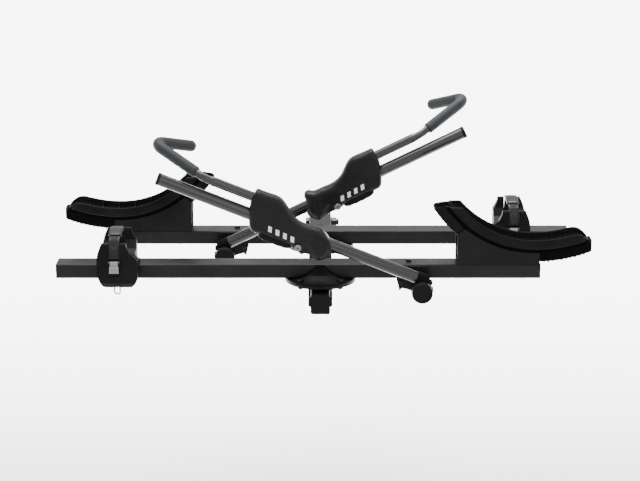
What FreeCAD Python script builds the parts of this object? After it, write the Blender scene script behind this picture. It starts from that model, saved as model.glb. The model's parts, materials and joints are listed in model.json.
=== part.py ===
import FreeCAD, Part
import math
import os
import Sketcher

# Two-bike platform rack for a 2 in hitch receiver.
# Frame: millimetres, +Z up, +Y towards the vehicle, +X to the right when looking at the
# vehicle from behind.  The origin is the centre of the hitch-pin hole in the stinger.
# "near" is the bar furthest from the vehicle, "far" the one beside it; far is near mirrored in X.

doc = FreeCAD.newDocument("hitch_bike_rack")

# ---------------------------------------------------------------- driving dimensions
DIMENSIONS = [
    ("stinger_size", 50.8, "outer size of the stinger tube"),
    ("stinger_wall", 6.35, "wall of the stinger tube"),
    ("stinger_back", 62.0, "stinger end beyond the hitch pin"),
    ("pin_hole_radius", 8.25, "hitch-pin hole"),
    ("tilt_y", -150.0, "tilt bolt centre"),
    ("tilt_bolt_radius", 9.0, "tilt bolt shank"),
    ("running_gap", 0.05, "radial clearance of running fits"),
    ("side_gap", 0.4, "clearance beside moving faces"),
    ("spine_size", 63.5, "outer size of the spine tube"),
    ("spine_wall", 5.95, "wall of the spine tube"),
    ("spine_corner", 5.0, "outer corner radius of the spine tube"),
    ("near_y", -822.0, "near bar centre"),
    ("far_y", -502.0, "far bar centre"),
    ("bar_z", 62.3, "height of both bars' centres"),
    ("bar_depth", 63.5, "bar section along Y"),
    ("bar_height", 38.1, "bar section along Z"),
    ("bar_wall", 3.0, "bar wall"),
    ("bar_long_end", 697.0, "bar end on the strap-block side"),
    ("bar_short_end", 579.5, "bar end on the wheel-tray side"),
    ("bar_corner", 4.0, "bar corner radius"),
    ("plate_radius", 94.0, "round plates under the bars"),
    ("plate_thick", 8.0, "round plate thickness"),
    ("flange_thick", 3.5, "hub flange thickness"),
    ("hub_bolt_x", 52.0, "hub bolts from the centre line"),
    ("hub_bolt_y", 62.0, "hub bolts from the bar's centre line"),
    ("hub_bolt_radius", 4.0, "M8 hub bolts"),
    ("tray_x", 565.0, "lowest point of the wheel tray"),
    ("tray_top_radius", 254.0, "inner arc of the tray's lips"),
    ("tray_flat_extra", 100.0, "extra radius of the tray's flatter outer half"),
    ("tray_rise", 342.0, "height of the tray's inner arc centre above the bar centre"),
    ("tray_band", 36.0, "height of the tray's side band"),
    ("tray_keel", 28.0, "height of the tray's lower channel"),
    ("tray_half_width", 42.0, "half width over the tray's lips"),
    ("tray_keel_half", 27.5, "half width of the tray's lower channel"),
    ("tray_wall", 4.0, "tray wall"),
    ("tray_inner_sweep", 62.0, "sweep of the tall half, degrees"),
    ("tray_outer_sweep", 25.6, "sweep of the flat half, degrees"),
    ("tray_cut_z", 177.0, "top of the tray's tall end above the bar centre"),
    ("bracket_in", 361.0, "tray bracket's inner edge"),
    ("bracket_out", 578.5, "tray bracket's outer edge"),
    ("sheet_thick", 4.0, "bracket sheet"),
    ("arm_y", -64.0, "arm plane in front of its bar's centre"),
    ("pivot_x", 267.0, "arm pivot from the centre line"),
    ("pivot_z", -39.0, "arm pivot below the bar centre"),
    ("pin_radius", 8.0, "arm pivot pin"),
    ("near_arm_angle", 21.7, "near arm's rest slope, degrees"),
    ("far_arm_angle", 26.0, "far arm's rest slope, degrees"),
    ("tube_offset", 25.8, "arm tube axis above the pivot axis"),
    ("tube_radius", 15.9, "arm tube outer radius"),
    ("tube_wall", 2.0, "arm tube wall"),
    ("tube_start", 8.0, "arm tube's lower end from the pivot"),
    ("tube_end", 745.0, "arm tube's upper end from the pivot"),
    ("knuckle_radius", 23.0, "arm knuckle around the pivot"),
    ("knuckle_half", 21.0, "arm knuckle half width"),
    ("cap_radius", 27.5, "pivot cap radius"),
    ("cap_front", 40.0, "pivot cap's front face ahead of the arm plane"),
    ("housing_half", 28.5, "ratchet housing depth ahead of the arm plane"),
    ("housing_back", 21.5, "ratchet housing depth behind the arm plane"),
    ("housing_wall", 3.5, "ratchet housing wall"),
    ("housing_shift", 9.6, "housing outline's offset along the arm"),
    ("rod_offset", 46.1, "hook rod above the tube axis"),
    ("rod_radius", 12.5, "hook rod radius"),
    ("sleeve_radius", 15.3, "rubber sleeve radius"),
    ("block_x", 530.0, "strap block centre"),
    ("block_half", 55.0, "strap block half length along the bar"),
    ("block_gap", 0.5, "strap block clearance around the bar"),
    ("prong_top", 91.0, "prong tops above the bar centre"),
    ("strap_width", 26.0, "wheel strap width"),
    ("strap_thick", 4.0, "wheel strap thickness"),
    ("strap_x", 539.0, "wheel strap centre line"),
    ("handle_front", -124.0, "release handle's face from the near bar's centre"),
    ("spine_mouth", -45.0, "spine's tail end from the near bar's centre"),
]

sheet = doc.addObject("Spreadsheet::Sheet", "dims")
for row, (name, value, note) in enumerate(DIMENSIONS, start=1):
    sheet.set("A%d" % row, name)
    sheet.set("B%d" % row, str(value))
    sheet.set("C%d" % row, note)
    sheet.setAlias("B%d" % row, name)
doc.recompute()


def val(expression):
    """The number that an expression over the sheet's cells gives."""
    return float(sheet.evalExpression(str(expression)))


def dim(name):
    return val("dims." + name)


SIDES = {"near": 1, "far": -1}
pieces = {}


# ---------------------------------------------------------------- helpers for bodies
def new_body(label):
    body = doc.addObject("PartDesign::Body", label)
    body.Label = label
    pieces[label] = body
    return body


def origin_plane(body, role):
    for feature in body.Origin.OriginFeatures:
        if feature.Role == role:
            return feature
    raise RuntimeError("no plane " + role)


def new_sketch(body, role, offset="0"):
    sketch = body.newObject("Sketcher::SketchObject", "sketch")
    sketch.AttachmentSupport = [(origin_plane(body, role), "")]
    sketch.MapMode = "FlatFace"
    sketch.setExpression("AttachmentOffset.Base.z", str(offset))
    return sketch


def add_polygon(sketch, corners):
    """A closed polygon whose every corner is bound to a pair of expressions."""
    first = sketch.GeometryCount
    places = [FreeCAD.Vector(val(x), val(y), 0) for x, y in corners]
    count = len(corners)
    for i in range(count):
        sketch.addGeometry(Part.LineSegment(places[i], places[(i + 1) % count]))
    for i in range(count):
        following = first + (i + 1) % count
        sketch.addConstraint(Sketcher.Constraint("Coincident", first + i, 2, following, 1))
    for i, (x, y) in enumerate(corners):
        for kind, expression in (("DistanceX", x), ("DistanceY", y)):
            rule = Sketcher.Constraint(kind, -1, 1, first + i, 1, val(expression))
            index = sketch.addConstraint(rule)
            sketch.setExpression("Constraints[%d]" % index, str(expression))


def add_rectangle(sketch, x0, y0, x1, y1):
    add_polygon(sketch, [(x0, y0), (x1, y0), (x1, y1), (x0, y1)])


def add_circle(sketch, x, y, radius):
    centre = FreeCAD.Vector(val(x), val(y), 0)
    ring = sketch.addGeometry(Part.Circle(centre, FreeCAD.Vector(0, 0, 1), val(radius)))
    rules = (
        (Sketcher.Constraint("DistanceX", -1, 1, ring, 3, val(x)), x),
        (Sketcher.Constraint("DistanceY", -1, 1, ring, 3, val(y)), y),
        (Sketcher.Constraint("Radius", ring, val(radius)), radius),
    )
    for rule, expression in rules:
        index = sketch.addConstraint(rule)
        sketch.setExpression("Constraints[%d]" % index, str(expression))


def pad(body, sketch, length, symmetric=False, reverse=False):
    feature = body.newObject("PartDesign::Pad", "pad")
    feature.Profile = sketch
    feature.setExpression("Length", str(length))
    feature.Midplane = symmetric
    feature.Reversed = reverse
    doc.recompute()
    return feature


def pocket(body, sketch, length=None, symmetric=True, reverse=False):
    """A cut of a given length, or right through both ways; it must remove material."""
    before = body.Shape.Volume
    feature = body.newObject("PartDesign::Pocket", "pocket")
    feature.Profile = sketch
    if length is None:
        feature.Type = "ThroughAll"
    else:
        feature.setExpression("Length", str(length))
    feature.Midplane = symmetric
    feature.Reversed = reverse
    doc.recompute()
    if body.Shape.Volume > before - 1e-3:
        raise RuntimeError("a pocket in %s removes nothing" % body.Label)
    return feature


def fillet(body, feature, radius, choose):
    """Round the feature's edges for which choose(edge) is true."""
    names = []
    for number, edge in enumerate(feature.Shape.Edges, start=1):
        if choose(edge):
            names.append("Edge%d" % number)
    if not names:
        raise RuntimeError("no edges to round in " + body.Label)
    rounding = body.newObject("PartDesign::Fillet", "fillet")
    rounding.Base = (feature, names)
    rounding.setExpression("Radius", str(radius))
    doc.recompute()
    return rounding


def runs_along(edge, axis, shortest=1.0):
    """True for a straight edge parallel to an axis (0, 1 or 2) and longer than shortest."""
    if edge.Curve.TypeId != "Part::GeomLine" or edge.Length < shortest:
        return False
    direction = edge.tangentAt(edge.FirstParameter)
    return abs(abs(direction[axis]) - 1.0) < 1e-6


def place(piece, x="0", y="0", z="0"):
    for axis, expression in (("x", x), ("y", y), ("z", z)):
        piece.setExpression("Placement.Base." + axis, str(expression))


def bar_y(which):
    return "dims.near_y" if which == "near" else "dims.far_y"


def place_on_bar(piece, which, x="0"):
    """Put a piece whose own origin is the bar's centre on its bar."""
    place(piece, x, bar_y(which), "dims.bar_z")


# ---------------------------------------------------------------- helpers for free shapes
V = FreeCAD.Vector


def free_piece(label, shape):
    piece = doc.addObject("Part::Feature", label)
    piece.Label = label
    piece.Shape = shape
    pieces[label] = piece
    return piece


def cylinder(start, direction, radius, length):
    return Part.makeCylinder(radius, length, start, direction)


def box(low, high):
    return Part.makeBox(high[0] - low[0], high[1] - low[1], high[2] - low[2], V(*low))


def hexagon_prism(start, direction, across_flats, height):
    """A hexagonal prism standing on start, along direction."""
    corner = across_flats / math.sqrt(3.0)
    ring = []
    for i in range(7):
        angle = math.radians(60.0 * i)
        ring.append(V(corner * math.cos(angle), corner * math.sin(angle), 0))
    prism = Part.Face(Part.makePolygon(ring)).extrude(V(0, 0, height))
    turn = FreeCAD.Rotation(V(0, 0, 1), direction)
    prism.Placement = FreeCAD.Placement(start, turn)
    return prism


def hex_bolt(seat, outward, radius, grip, across_flats, head):
    """A bolt whose head sits on seat and stands along outward; its shank runs the other way."""
    top = hexagon_prism(seat, outward, across_flats, head)
    shank = cylinder(seat, outward * -1.0, radius, grip)
    return top.fuse(shank).removeSplitter()


def hex_nut(seat, outward, radius, across_flats, height):
    body = hexagon_prism(seat, outward, across_flats, height)
    return body.cut(cylinder(seat - outward, outward, radius, height + 2.0))


def rounded_path(points, radii):
    """Straight runs through the points, joined by tangent arcs of the given radii."""
    edges = []
    start = points[0]
    for i in range(1, len(points) - 1):
        back = (points[i - 1] - points[i]).normalize()
        ahead = (points[i + 1] - points[i]).normalize()
        half = back.getAngle(ahead) / 2.0
        reach = radii[i - 1] / math.tan(half)
        arc_start = points[i] + back * reach
        arc_end = points[i] + ahead * reach
        middle_direction = (back + ahead).normalize()
        depth = radii[i - 1] / math.sin(half) - radii[i - 1]
        arc_middle = points[i] + middle_direction * depth
        edges.append(Part.LineSegment(start, arc_start).toShape())
        edges.append(Part.Arc(arc_start, arc_middle, arc_end).toShape())
        start = arc_end
    edges.append(Part.LineSegment(start, points[-1]).toShape())
    return Part.Wire(edges)


def pipe(path, radius):
    first = path.Edges[0]
    start = first.valueAt(first.FirstParameter)
    heading = first.tangentAt(first.FirstParameter)
    ring = Part.Wire([Part.makeCircle(radius, start, heading)])
    return path.makePipeShell([ring], True, True)


def smooth_outline(points, y):
    """A closed smooth curve through points given as (along, up), in the plane Y = y."""
    curve = Part.BSplineCurve()
    curve.interpolate([V(p[0], y, p[1]) for p in points], PeriodicFlag=True)
    return Part.Wire([curve.toShape()])


def inner_outline(outline, wall, y):
    """A smooth closed curve one wall inside another one that lies square to Y."""
    samples = outline.discretize(Number=121)[:-1]
    area = 0.0
    for i, point in enumerate(samples):
        following = samples[(i + 1) % len(samples)]
        area += point.x * following.z - following.x * point.z
    turn = -1.0 if area > 0 else 1.0
    kept = []
    for i in range(0, len(samples), 3):
        heading = samples[(i + 1) % len(samples)] - samples[i - 1]
        heading.normalize()
        inset = samples[i] + V(turn * heading.z, 0, -turn * heading.x) * wall
        nearest = min((inset - point).Length for point in samples)
        if nearest > 0.93 * wall:
            kept.append((inset.x, inset.z))
    return smooth_outline(kept, y)


# ---------------------------------------------------------------- hitch side
def make_stinger():
    body = new_body("stinger_tube")
    end = "(dims.tilt_y + 46)"
    sketch = new_sketch(body, "XZ_Plane", "-dims.stinger_back")
    half = "dims.stinger_size / 2"
    inner = "(dims.stinger_size / 2 - dims.stinger_wall)"
    add_rectangle(sketch, "-" + half, "-" + half, half, half)
    add_rectangle(sketch, "-" + inner, "-" + inner, inner, inner)
    tube = pad(body, sketch, "dims.stinger_back - %s" % end)
    limit = dim("stinger_size") / 2 - 1.0
    fillet(body, tube, "3",
           lambda e: runs_along(e, 1) and abs(e.CenterOfMass.x) > limit)
    hole = new_sketch(body, "YZ_Plane")
    add_circle(hole, "0", "0", "dims.pin_hole_radius")
    pocket(body, hole)
    place(body)


def make_index_hub():
    """The rounded knuckle in the stinger's end, with a notch for each locked tilt angle."""
    body = new_body("index_hub")
    sketch = new_sketch(body, "YZ_Plane")
    inner = "(dims.stinger_size / 2 - dims.stinger_wall)"
    plug_end = "60"
    corners = [
        ("0", "-24"), ("46", "-24"), ("46", "-" + inner), (plug_end, "-" + inner),
        (plug_end, inner), ("46", inner), ("46", "24"), ("0", "24"),
    ]
    add_polygon(sketch, corners)
    pad(body, sketch, "2 * " + inner, symmetric=True)
    drum = new_sketch(body, "YZ_Plane")
    add_circle(drum, "0", "0", "24")
    pad(body, drum, "dims.stinger_size", symmetric=True)
    cheeks = new_sketch(body, "YZ_Plane")
    add_rectangle(cheeks, "0", "-24", "46", "24")
    pad(body, cheeks, "dims.stinger_size", symmetric=True)
    bore = new_sketch(body, "YZ_Plane")
    add_circle(bore, "0", "0", "dims.tilt_bolt_radius + dims.running_gap")
    pocket(body, bore)
    for across, up in (("-24", "0"), ("0", "24")):
        notch = new_sketch(body, "YZ_Plane")
        add_circle(notch, across, up, "5.2")
        pocket(body, notch)
    place(body, y="dims.tilt_y")


# ---------------------------------------------------------------- spine
def make_spine():
    body = new_body("spine_tube")
    sketch = new_sketch(body, "XZ_Plane", "-(dims.tilt_y + 34)")
    half = "dims.spine_size / 2"
    inner = "(dims.spine_size / 2 - dims.spine_wall)"
    add_rectangle(sketch, "-" + half, "-" + half, half, half)
    add_rectangle(sketch, "-" + inner, "-" + inner, inner, inner)
    tube = pad(body, sketch, "dims.tilt_y + 34 - dims.near_y - dims.spine_mouth")
    limit = dim("spine_size") / 2 - 1.0
    fillet(body, tube, "dims.spine_corner",
           lambda e: runs_along(e, 1) and abs(e.CenterOfMass.x) > limit)
    # The top wall is open at the hitch end, so the rack folds up.
    top = new_sketch(body, "YZ_Plane")
    add_polygon(top, [
        ("dims.tilt_y - 30", inner + " - 1"),
        ("dims.tilt_y + 40", inner + " - 1"),
        ("dims.tilt_y + 40", half + " + 5"),
        ("dims.tilt_y - 30", half + " + 5"),
    ])
    pocket(body, top, "2 * %s" % inner)
    # The bottom wall is open just below the pivot, so the rack tilts down.
    bottom = new_sketch(body, "YZ_Plane")
    add_rectangle(bottom, "dims.tilt_y - 45", "-%s - 5" % half, "dims.tilt_y + 40",
                  "-%s + 1" % inner)
    pocket(body, bottom, "2 * %s" % inner)
    bolt = new_sketch(body, "YZ_Plane")
    add_circle(bolt, "dims.tilt_y", "0", "dims.tilt_bolt_radius")
    pocket(body, bolt)
    # The hitch end of each side wall has cut corners.
    for sign in ("", "-"):
        corner = new_sketch(body, "YZ_Plane")
        add_polygon(corner, [
            ("dims.tilt_y + 16", sign + "(dims.spine_size / 2 + 5)"),
            ("dims.tilt_y + 16", sign + "(dims.spine_size / 2 - 0.01)"),
            ("dims.tilt_y + 36", sign + "(dims.spine_size / 2 - 18)"),
            ("dims.tilt_y + 36", sign + "(dims.spine_size / 2 + 5)"),
        ])
        pocket(body, corner)
    place(body)


def make_tilt_hardware():
    """The cross bolt, its nut and two washers, outside the spine's side walls."""
    side = dim("spine_size") / 2
    radius = dim("tilt_bolt_radius")
    axis = V(1, 0, 0)
    left = V(-side, dim("tilt_y"), 0)
    right = V(side, dim("tilt_y"), 0)
    washer = 2.5
    washers = []
    for start in (left - axis * washer, right):
        ring = cylinder(start, axis, 16.0, washer)
        washers.append(ring.cut(cylinder(start - axis, axis, radius, washer + 2.0)))
    free_piece("tilt_washers", Part.makeCompound(washers))
    head_seat = left - axis * washer
    reach = 2 * side + 2 * washer + 22.0
    free_piece("tilt_bolt", hex_bolt(head_seat, axis * -1.0, radius, reach, 24.0, 10.0))
    free_piece("tilt_nut", hex_nut(right + axis * washer, axis, radius, 24.0, 15.0))


def make_cross_plates():
    """Round plates welded on the spine, one under each hub."""
    discs = []
    top = dim("bar_z") - dim("bar_height") / 2 - dim("flange_thick")
    thick = dim("plate_thick")
    for which in SIDES:
        centre = V(0, val(bar_y(which)), top - thick)
        disc = cylinder(centre, V(0, 0, 1), dim("plate_radius"), thick)
        for hole in hub_bolt_places(which, top - thick - 1.0):
            disc = disc.cut(cylinder(hole, V(0, 0, 1), dim("hub_bolt_radius"), thick + 2.0))
        discs.append(disc)
    free_piece("cross_plates", Part.makeCompound(discs))


def hub_bolt_places(which, z):
    """The four bolt centres of one hub, at the height z."""
    spots = []
    for sx in (-1, 1):
        for sy in (-1, 1):
            y = val(bar_y(which)) + sy * dim("hub_bolt_y")
            spots.append(V(sx * dim("hub_bolt_x"), y, z))
    return spots


def make_hub(which):
    """A bell-shaped casting on a round flange; the bar passes through its middle."""
    body = new_body(which + "_hub")
    half_bar = "dims.bar_height / 2"
    profile = new_sketch(body, "XZ_Plane")
    add_polygon(profile, [
        ("0", "-%s - dims.flange_thick" % half_bar),
        ("dims.plate_radius", "-%s - dims.flange_thick" % half_bar),
        ("dims.plate_radius", "-" + half_bar),
        ("84", "-%s + 0.6" % half_bar),
        ("70", "-%s + 4" % half_bar),
        ("62", "-%s + 7.5" % half_bar),
        ("52", "-%s + 12.5" % half_bar),
        ("45", "0"),
        ("38", "8"),
        ("34", half_bar + " - 3"),
        ("33", half_bar),
        ("0", half_bar),
    ])
    bell = body.newObject("PartDesign::Revolution", "bell")
    bell.Profile = profile
    bell.ReferenceAxis = (profile, ["V_Axis"])
    bell.Angle = 360
    doc.recompute()
    gap = new_sketch(body, "YZ_Plane")
    add_rectangle(gap, "-dims.bar_depth / 2", "-" + half_bar, "dims.bar_depth / 2",
                  half_bar + " + 5")
    pocket(body, gap)
    for sx in ("", "-"):
        for sy in ("", "-"):
            spot = new_sketch(body, "XY_Plane", "-%s - 5" % half_bar)
            add_circle(spot, sx + "dims.hub_bolt_x", sy + "dims.hub_bolt_y",
                       "dims.hub_bolt_radius")
            pocket(body, spot, "20", symmetric=False, reverse=True)
            seat = new_sketch(body, "XY_Plane", "-%s + 1" % half_bar)
            add_circle(seat, sx + "dims.hub_bolt_x", sy + "dims.hub_bolt_y", "9")
            pocket(body, seat, "25", symmetric=False, reverse=True)
    place_on_bar(body, which)


def make_hub_fasteners():
    up = V(0, 0, 1)
    seat = dim("bar_z") - dim("bar_height") / 2 + 1.0
    under = dim("bar_z") - dim("bar_height") / 2 - dim("flange_thick") - dim("plate_thick")
    grip = seat - under + 8.0
    bolts = []
    nuts = []
    for which in SIDES:
        for spot in hub_bolt_places(which, seat):
            bolts.append(hex_bolt(spot, up, dim("hub_bolt_radius"), grip, 13.0, 5.5))
        for spot in hub_bolt_places(which, under):
            nuts.append(hex_nut(spot, up * -1.0, dim("hub_bolt_radius"), 13.0, 6.5))
    free_piece("hub_bolts", Part.makeCompound(bolts))
    free_piece("hub_nuts", Part.makeCompound(nuts))


# ---------------------------------------------------------------- bars
def signed(side, expression):
    return expression if side > 0 else "-(%s)" % expression


def make_bar(which):
    side = SIDES[which]
    body = new_body(which + "_bar")
    sketch = new_sketch(body, "YZ_Plane", signed(side, "-dims.bar_long_end"))
    depth = "dims.bar_depth / 2"
    height = "dims.bar_height / 2"
    inner_depth = "(dims.bar_depth / 2 - dims.bar_wall)"
    inner_height = "(dims.bar_height / 2 - dims.bar_wall)"
    add_rectangle(sketch, "-" + depth, "-" + height, depth, height)
    add_rectangle(sketch, "-" + inner_depth, "-" + inner_height, inner_depth, inner_height)
    tube = pad(body, sketch, "dims.bar_long_end + dims.bar_short_end", reverse=side < 0)
    limit = dim("bar_depth") / 2 - 1.0
    fillet(body, tube, "dims.bar_corner",
           lambda e: runs_along(e, 0) and abs(e.CenterOfMass.y) > limit)
    drill = new_sketch(body, "XY_Plane")
    for x in TRAY_BOLTS_X:
        add_circle(drill, signed(side, x), "0", "4")
    add_circle(drill, signed(side, ARM_BOLT_X), "0", "4")
    pocket(body, drill)
    cross = new_sketch(body, "XZ_Plane")
    add_circle(cross, signed(side, FRONT_BOLT_X), "3", "4")
    pocket(body, cross, "dims.bar_depth", symmetric=False, reverse=True)
    place_on_bar(body, which)


TRAY_BOLTS_X = ("400", "540")
ARM_BOLT_X = "235"
FRONT_BOLT_X = "258"


def make_bar_caps():
    """Plastic plugs in the four bar ends."""
    plugs = []
    depth = dim("bar_depth")
    height = dim("bar_height")
    wall = dim("bar_wall")
    for which, side in SIDES.items():
        y = val(bar_y(which))
        for end, outward in ((-dim("bar_long_end"), -1), (dim("bar_short_end"), 1)):
            x = side * end
            out = side * outward
            flange = box((min(x, x + 3.0 * out), y - depth / 2, dim("bar_z") - height / 2),
                         (max(x, x + 3.0 * out), y + depth / 2, dim("bar_z") + height / 2))
            edges = [e for e in flange.Edges if runs_along(e, 0)]
            flange = flange.makeFillet(dim("bar_corner"), edges)
            x_in = x - 16.0 * out
            plug = box((min(x, x_in), y - depth / 2 + wall, dim("bar_z") - height / 2 + wall),
                       (max(x, x_in), y + depth / 2 - wall, dim("bar_z") + height / 2 - wall))
            plugs.append(flange.fuse(plug).removeSplitter())
    free_piece("bar_end_caps", Part.makeCompound(plugs))


# ---------------------------------------------------------------- wheel trays
# The low end's outline in plan: distance from the tray's lowest point, half width.
TRAY_TIP_OUTLINE = [("114", "42"), ("127", "38"), ("137", "30")]


def tray_section(body, lift):
    """The channel's section, with its lips at the radius tray_top_radius + lift."""
    sketch = new_sketch(body, "YZ_Plane", "0")
    centre = "(dims.tray_rise + %s)" % lift
    lip = "%s - dims.tray_top_radius - %s" % (centre, lift)
    band = lip + " - dims.tray_band"
    keel = band + " - dims.tray_keel"
    wide = "dims.tray_half_width"
    slim = "dims.tray_keel_half"
    wall = "dims.tray_wall"
    half = [
        (slim, keel), (slim, band), (wide, band), (wide, lip), (wide + " - " + wall, lip),
        (wide + " - " + wall, band + " + " + wall), (slim + " - " + wall, band + " + " + wall),
        (slim + " - " + wall, keel + " + " + wall),
    ]
    other = [("-(%s)" % x, y) for x, y in reversed(half)]
    add_polygon(sketch, half + other)
    axis = sketch.addGeometry(Part.LineSegment(V(-10, val(centre), 0), V(10, val(centre), 0)), True)
    for kind, point, value in (("DistanceX", 1, "-10"), ("DistanceY", 1, centre),
                               ("DistanceX", 2, "10"), ("DistanceY", 2, centre)):
        index = sketch.addConstraint(Sketcher.Constraint(kind, -1, 1, axis, point, val(value)))
        sketch.setExpression("Constraints[%d]" % index, value)
    return sketch


def revolve(body, sketch, sweep, reverse):
    before = body.Shape.Volume if body.Tip else 0.0
    turn = body.newObject("PartDesign::Revolution", "sweep")
    turn.Profile = sketch
    turn.ReferenceAxis = (sketch, ["Axis0"])
    turn.setExpression("Angle", sweep)
    turn.Reversed = reverse
    doc.recompute()
    if body.Shape.Volume < before + 1.0:
        raise RuntimeError("a sweep in %s adds nothing" % body.Label)
    return turn


def make_tray(which):
    """A trough for the front wheel: a tall curved inner half and a flatter outer half."""
    side = SIDES[which]
    body = new_body(which + "_wheel_tray")
    revolve(body, tray_section(body, "0"), "dims.tray_inner_sweep", side < 0)
    revolve(body, tray_section(body, "dims.tray_flat_extra"), "dims.tray_outer_sweep", side > 0)
    # The tall end is cut level, with its outer corner taken off.
    cut = new_sketch(body, "XZ_Plane")
    top = "dims.tray_cut_z"
    corners = [
        ("-340", top + " - 12"), ("-268.5", top + " - 9"), ("-262", top + " - 4"),
        ("-250", top), ("-150", top), ("-150", "420"), ("-340", "420"),
    ]
    add_polygon(cut, [(signed(side, x), z) for x, z in corners])
    pocket(body, cut)
    # The low end is rounded in plan, and the keel reaches a little further than the band.
    tip = new_sketch(body, "XY_Plane")
    half = TRAY_TIP_OUTLINE + [("138.8", "27.6"), ("148.5", "27.6"), ("152.5", "22")]
    half = [("112", "43")] + half
    other = [(x, "-" + y) for x, y in reversed(half)]
    corners = half + other + [("190", "-43"), ("190", "43")]
    add_polygon(tip, [(signed(side, x), y) for x, y in corners])
    pocket(body, tip)
    # A wall closes the low end between the two lips, and a plate closes the keel.
    wall = new_sketch(body, "XY_Plane", "75")
    outer = [("100", "42")] + TRAY_TIP_OUTLINE + [("143", "17"), ("144.5", "6")]
    inner = [("100", "38"), ("113", "38"), ("124.5", "34.5"), ("133.5", "27.5"),
             ("139", "15.5"), ("140.5", "5")]
    ring = outer + [(x, "-" + y) for x, y in reversed(outer)]
    ring += [(x, "-" + y) for x, y in inner] + list(reversed(inner))
    add_polygon(wall, [(signed(side, x), y) for x, y in ring])
    pad(body, wall, "32")
    plate = new_sketch(body, "YZ_Plane", signed(side, "148.5"))
    add_rectangle(plate, "-22", "52", "22", "80")
    pad(body, plate, "4", reverse=side < 0)
    # The rim levels off and then drops round the low end.
    slope = new_sketch(body, "XZ_Plane")
    corners = [
        ("99", "102.5"), ("117", "103"), ("126", "99"), ("134", "93"), ("141", "84"),
        ("146", "76"), ("190", "76"), ("190", "200"), ("99", "200"),
    ]
    add_polygon(slope, [(signed(side, x), z) for x, z in corners])
    pocket(body, slope)
    drill = new_sketch(body, "XY_Plane")
    for x in TRAY_BOLTS_X:
        add_circle(drill, signed(side, "%s - dims.tray_x" % x), "0", "4")
    pocket(body, drill)
    place_on_bar(body, which, signed(side, "dims.tray_x"))


def make_tray_bracket(which):
    """A folded saddle: a base on the bar and two side plates that follow the tray's arc."""
    side = SIDES[which]
    body = new_body(which + "_tray_bracket")
    half = "dims.bar_depth / 2"
    base_z = "dims.bar_height / 2"
    sketch = new_sketch(body, "XZ_Plane", "0")
    corners = [("dims.bracket_out", base_z), ("dims.bracket_in", base_z)]
    corners.append(("dims.bracket_in", "102"))
    arc_steps = 9
    for i in range(arc_steps + 1):
        share = i / arc_steps
        x = "(dims.bracket_in + 20 + %g * (dims.tray_x - dims.bracket_in - 20))" % share
        reach = "(dims.tray_top_radius + dims.tray_band)"
        z = "dims.tray_rise - sqrt(%s ^ 2 - (dims.tray_x - %s) ^ 2) - 0.8" % (reach, x)
        corners.append((x, z))
    corners.append(("dims.bracket_out", "dims.tray_rise - dims.tray_top_radius"
                    " - dims.tray_band - 0.8"))
    add_polygon(sketch, [(signed(side, x), z) for x, z in corners])
    pad(body, sketch, "dims.bar_depth", symmetric=True)
    hollow = new_sketch(body, "YZ_Plane", "0")
    gap = "(%s - dims.sheet_thick)" % half
    floor = "dims.bar_height / 2 + dims.sheet_thick"
    add_rectangle(hollow, "-" + gap, floor, gap, "250")
    pocket(body, hollow)
    drill = new_sketch(body, "XY_Plane")
    for x in TRAY_BOLTS_X:
        add_circle(drill, signed(side, x), "0", "4")
    pocket(body, drill)
    place_on_bar(body, which)


def tray_floor_z(x):
    """Height above the bar centre of the tray keel's inside at the distance x from the middle."""
    outer = dim("tray_top_radius") + dim("tray_band") + dim("tray_keel") - dim("tray_wall")
    return dim("tray_rise") - math.sqrt(outer ** 2 - (dim("tray_x") - x) ** 2)


def make_tray_bolts():
    bolts = []
    for which, side in SIDES.items():
        for text in TRAY_BOLTS_X:
            x = float(text)
            top = tray_floor_z(x) + 4.5
            seat = V(side * x, val(bar_y(which)), dim("bar_z") + top)
            grip = top + dim("bar_height") / 2 + 8.0
            bolt = hex_bolt(seat, V(0, 0, 1), 4.0, grip, 13.0, 5.0)
            nut_seat = V(side * x, val(bar_y(which)), dim("bar_z") - dim("bar_height") / 2)
            bolts.append(bolt.fuse(hexagon_prism(nut_seat, V(0, 0, -1), 13.0, 6.5)))
    free_piece("tray_bolts", Part.makeCompound(bolts))


# ---------------------------------------------------------------- arm brackets
def make_arm_bracket(which):
    """A thick plate on the bar's front face, with a flange under the bar and a pivot boss."""
    side = SIDES[which]
    body = new_body(which + "_arm_bracket")
    front = new_sketch(body, "XZ_Plane", "dims.bar_depth / 2")
    outline = [
        ("199", "12"), ("202", "-22"), ("206", "-36"), ("209", "-51"), ("217", "-44"),
        ("238", "-50"), ("248", "-60"), ("dims.pivot_x", "dims.pivot_z - 26"),
        ("284", "-60"), ("300", "-55"), ("299", "-42"), ("292", "-38"), ("297", "-34"),
        ("297", "-24"), ("290", "-20"), ("290", "12"), ("284", "16"), ("204", "16"),
    ]
    add_polygon(front, [(signed(side, x), z) for x, z in outline])
    pad(body, front, "5")
    flange = new_sketch(body, "YZ_Plane", signed(side, "205"))
    add_rectangle(flange, "-dims.bar_depth / 2", "-dims.bar_height / 2 - 4",
                  "dims.bar_depth / 2 - 8", "-dims.bar_height / 2")
    pad(body, flange, "40", reverse=side < 0)
    pin = new_sketch(body, "XZ_Plane", "dims.bar_depth / 2 - 2")
    add_circle(pin, signed(side, "dims.pivot_x"), "dims.pivot_z", "dims.pin_radius")
    pocket(body, pin, "10", symmetric=False, reverse=True)
    bolt = new_sketch(body, "XZ_Plane", "dims.bar_depth / 2 - 2")
    add_circle(bolt, signed(side, FRONT_BOLT_X), "3", "4")
    add_circle(bolt, signed(side, "214"), "-28.5", "3")
    pocket(body, bolt, "10", symmetric=False, reverse=True)
    drill = new_sketch(body, "XY_Plane")
    add_circle(drill, signed(side, ARM_BOLT_X), "0", "4")
    pocket(body, drill)
    place_on_bar(body, which)


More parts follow.
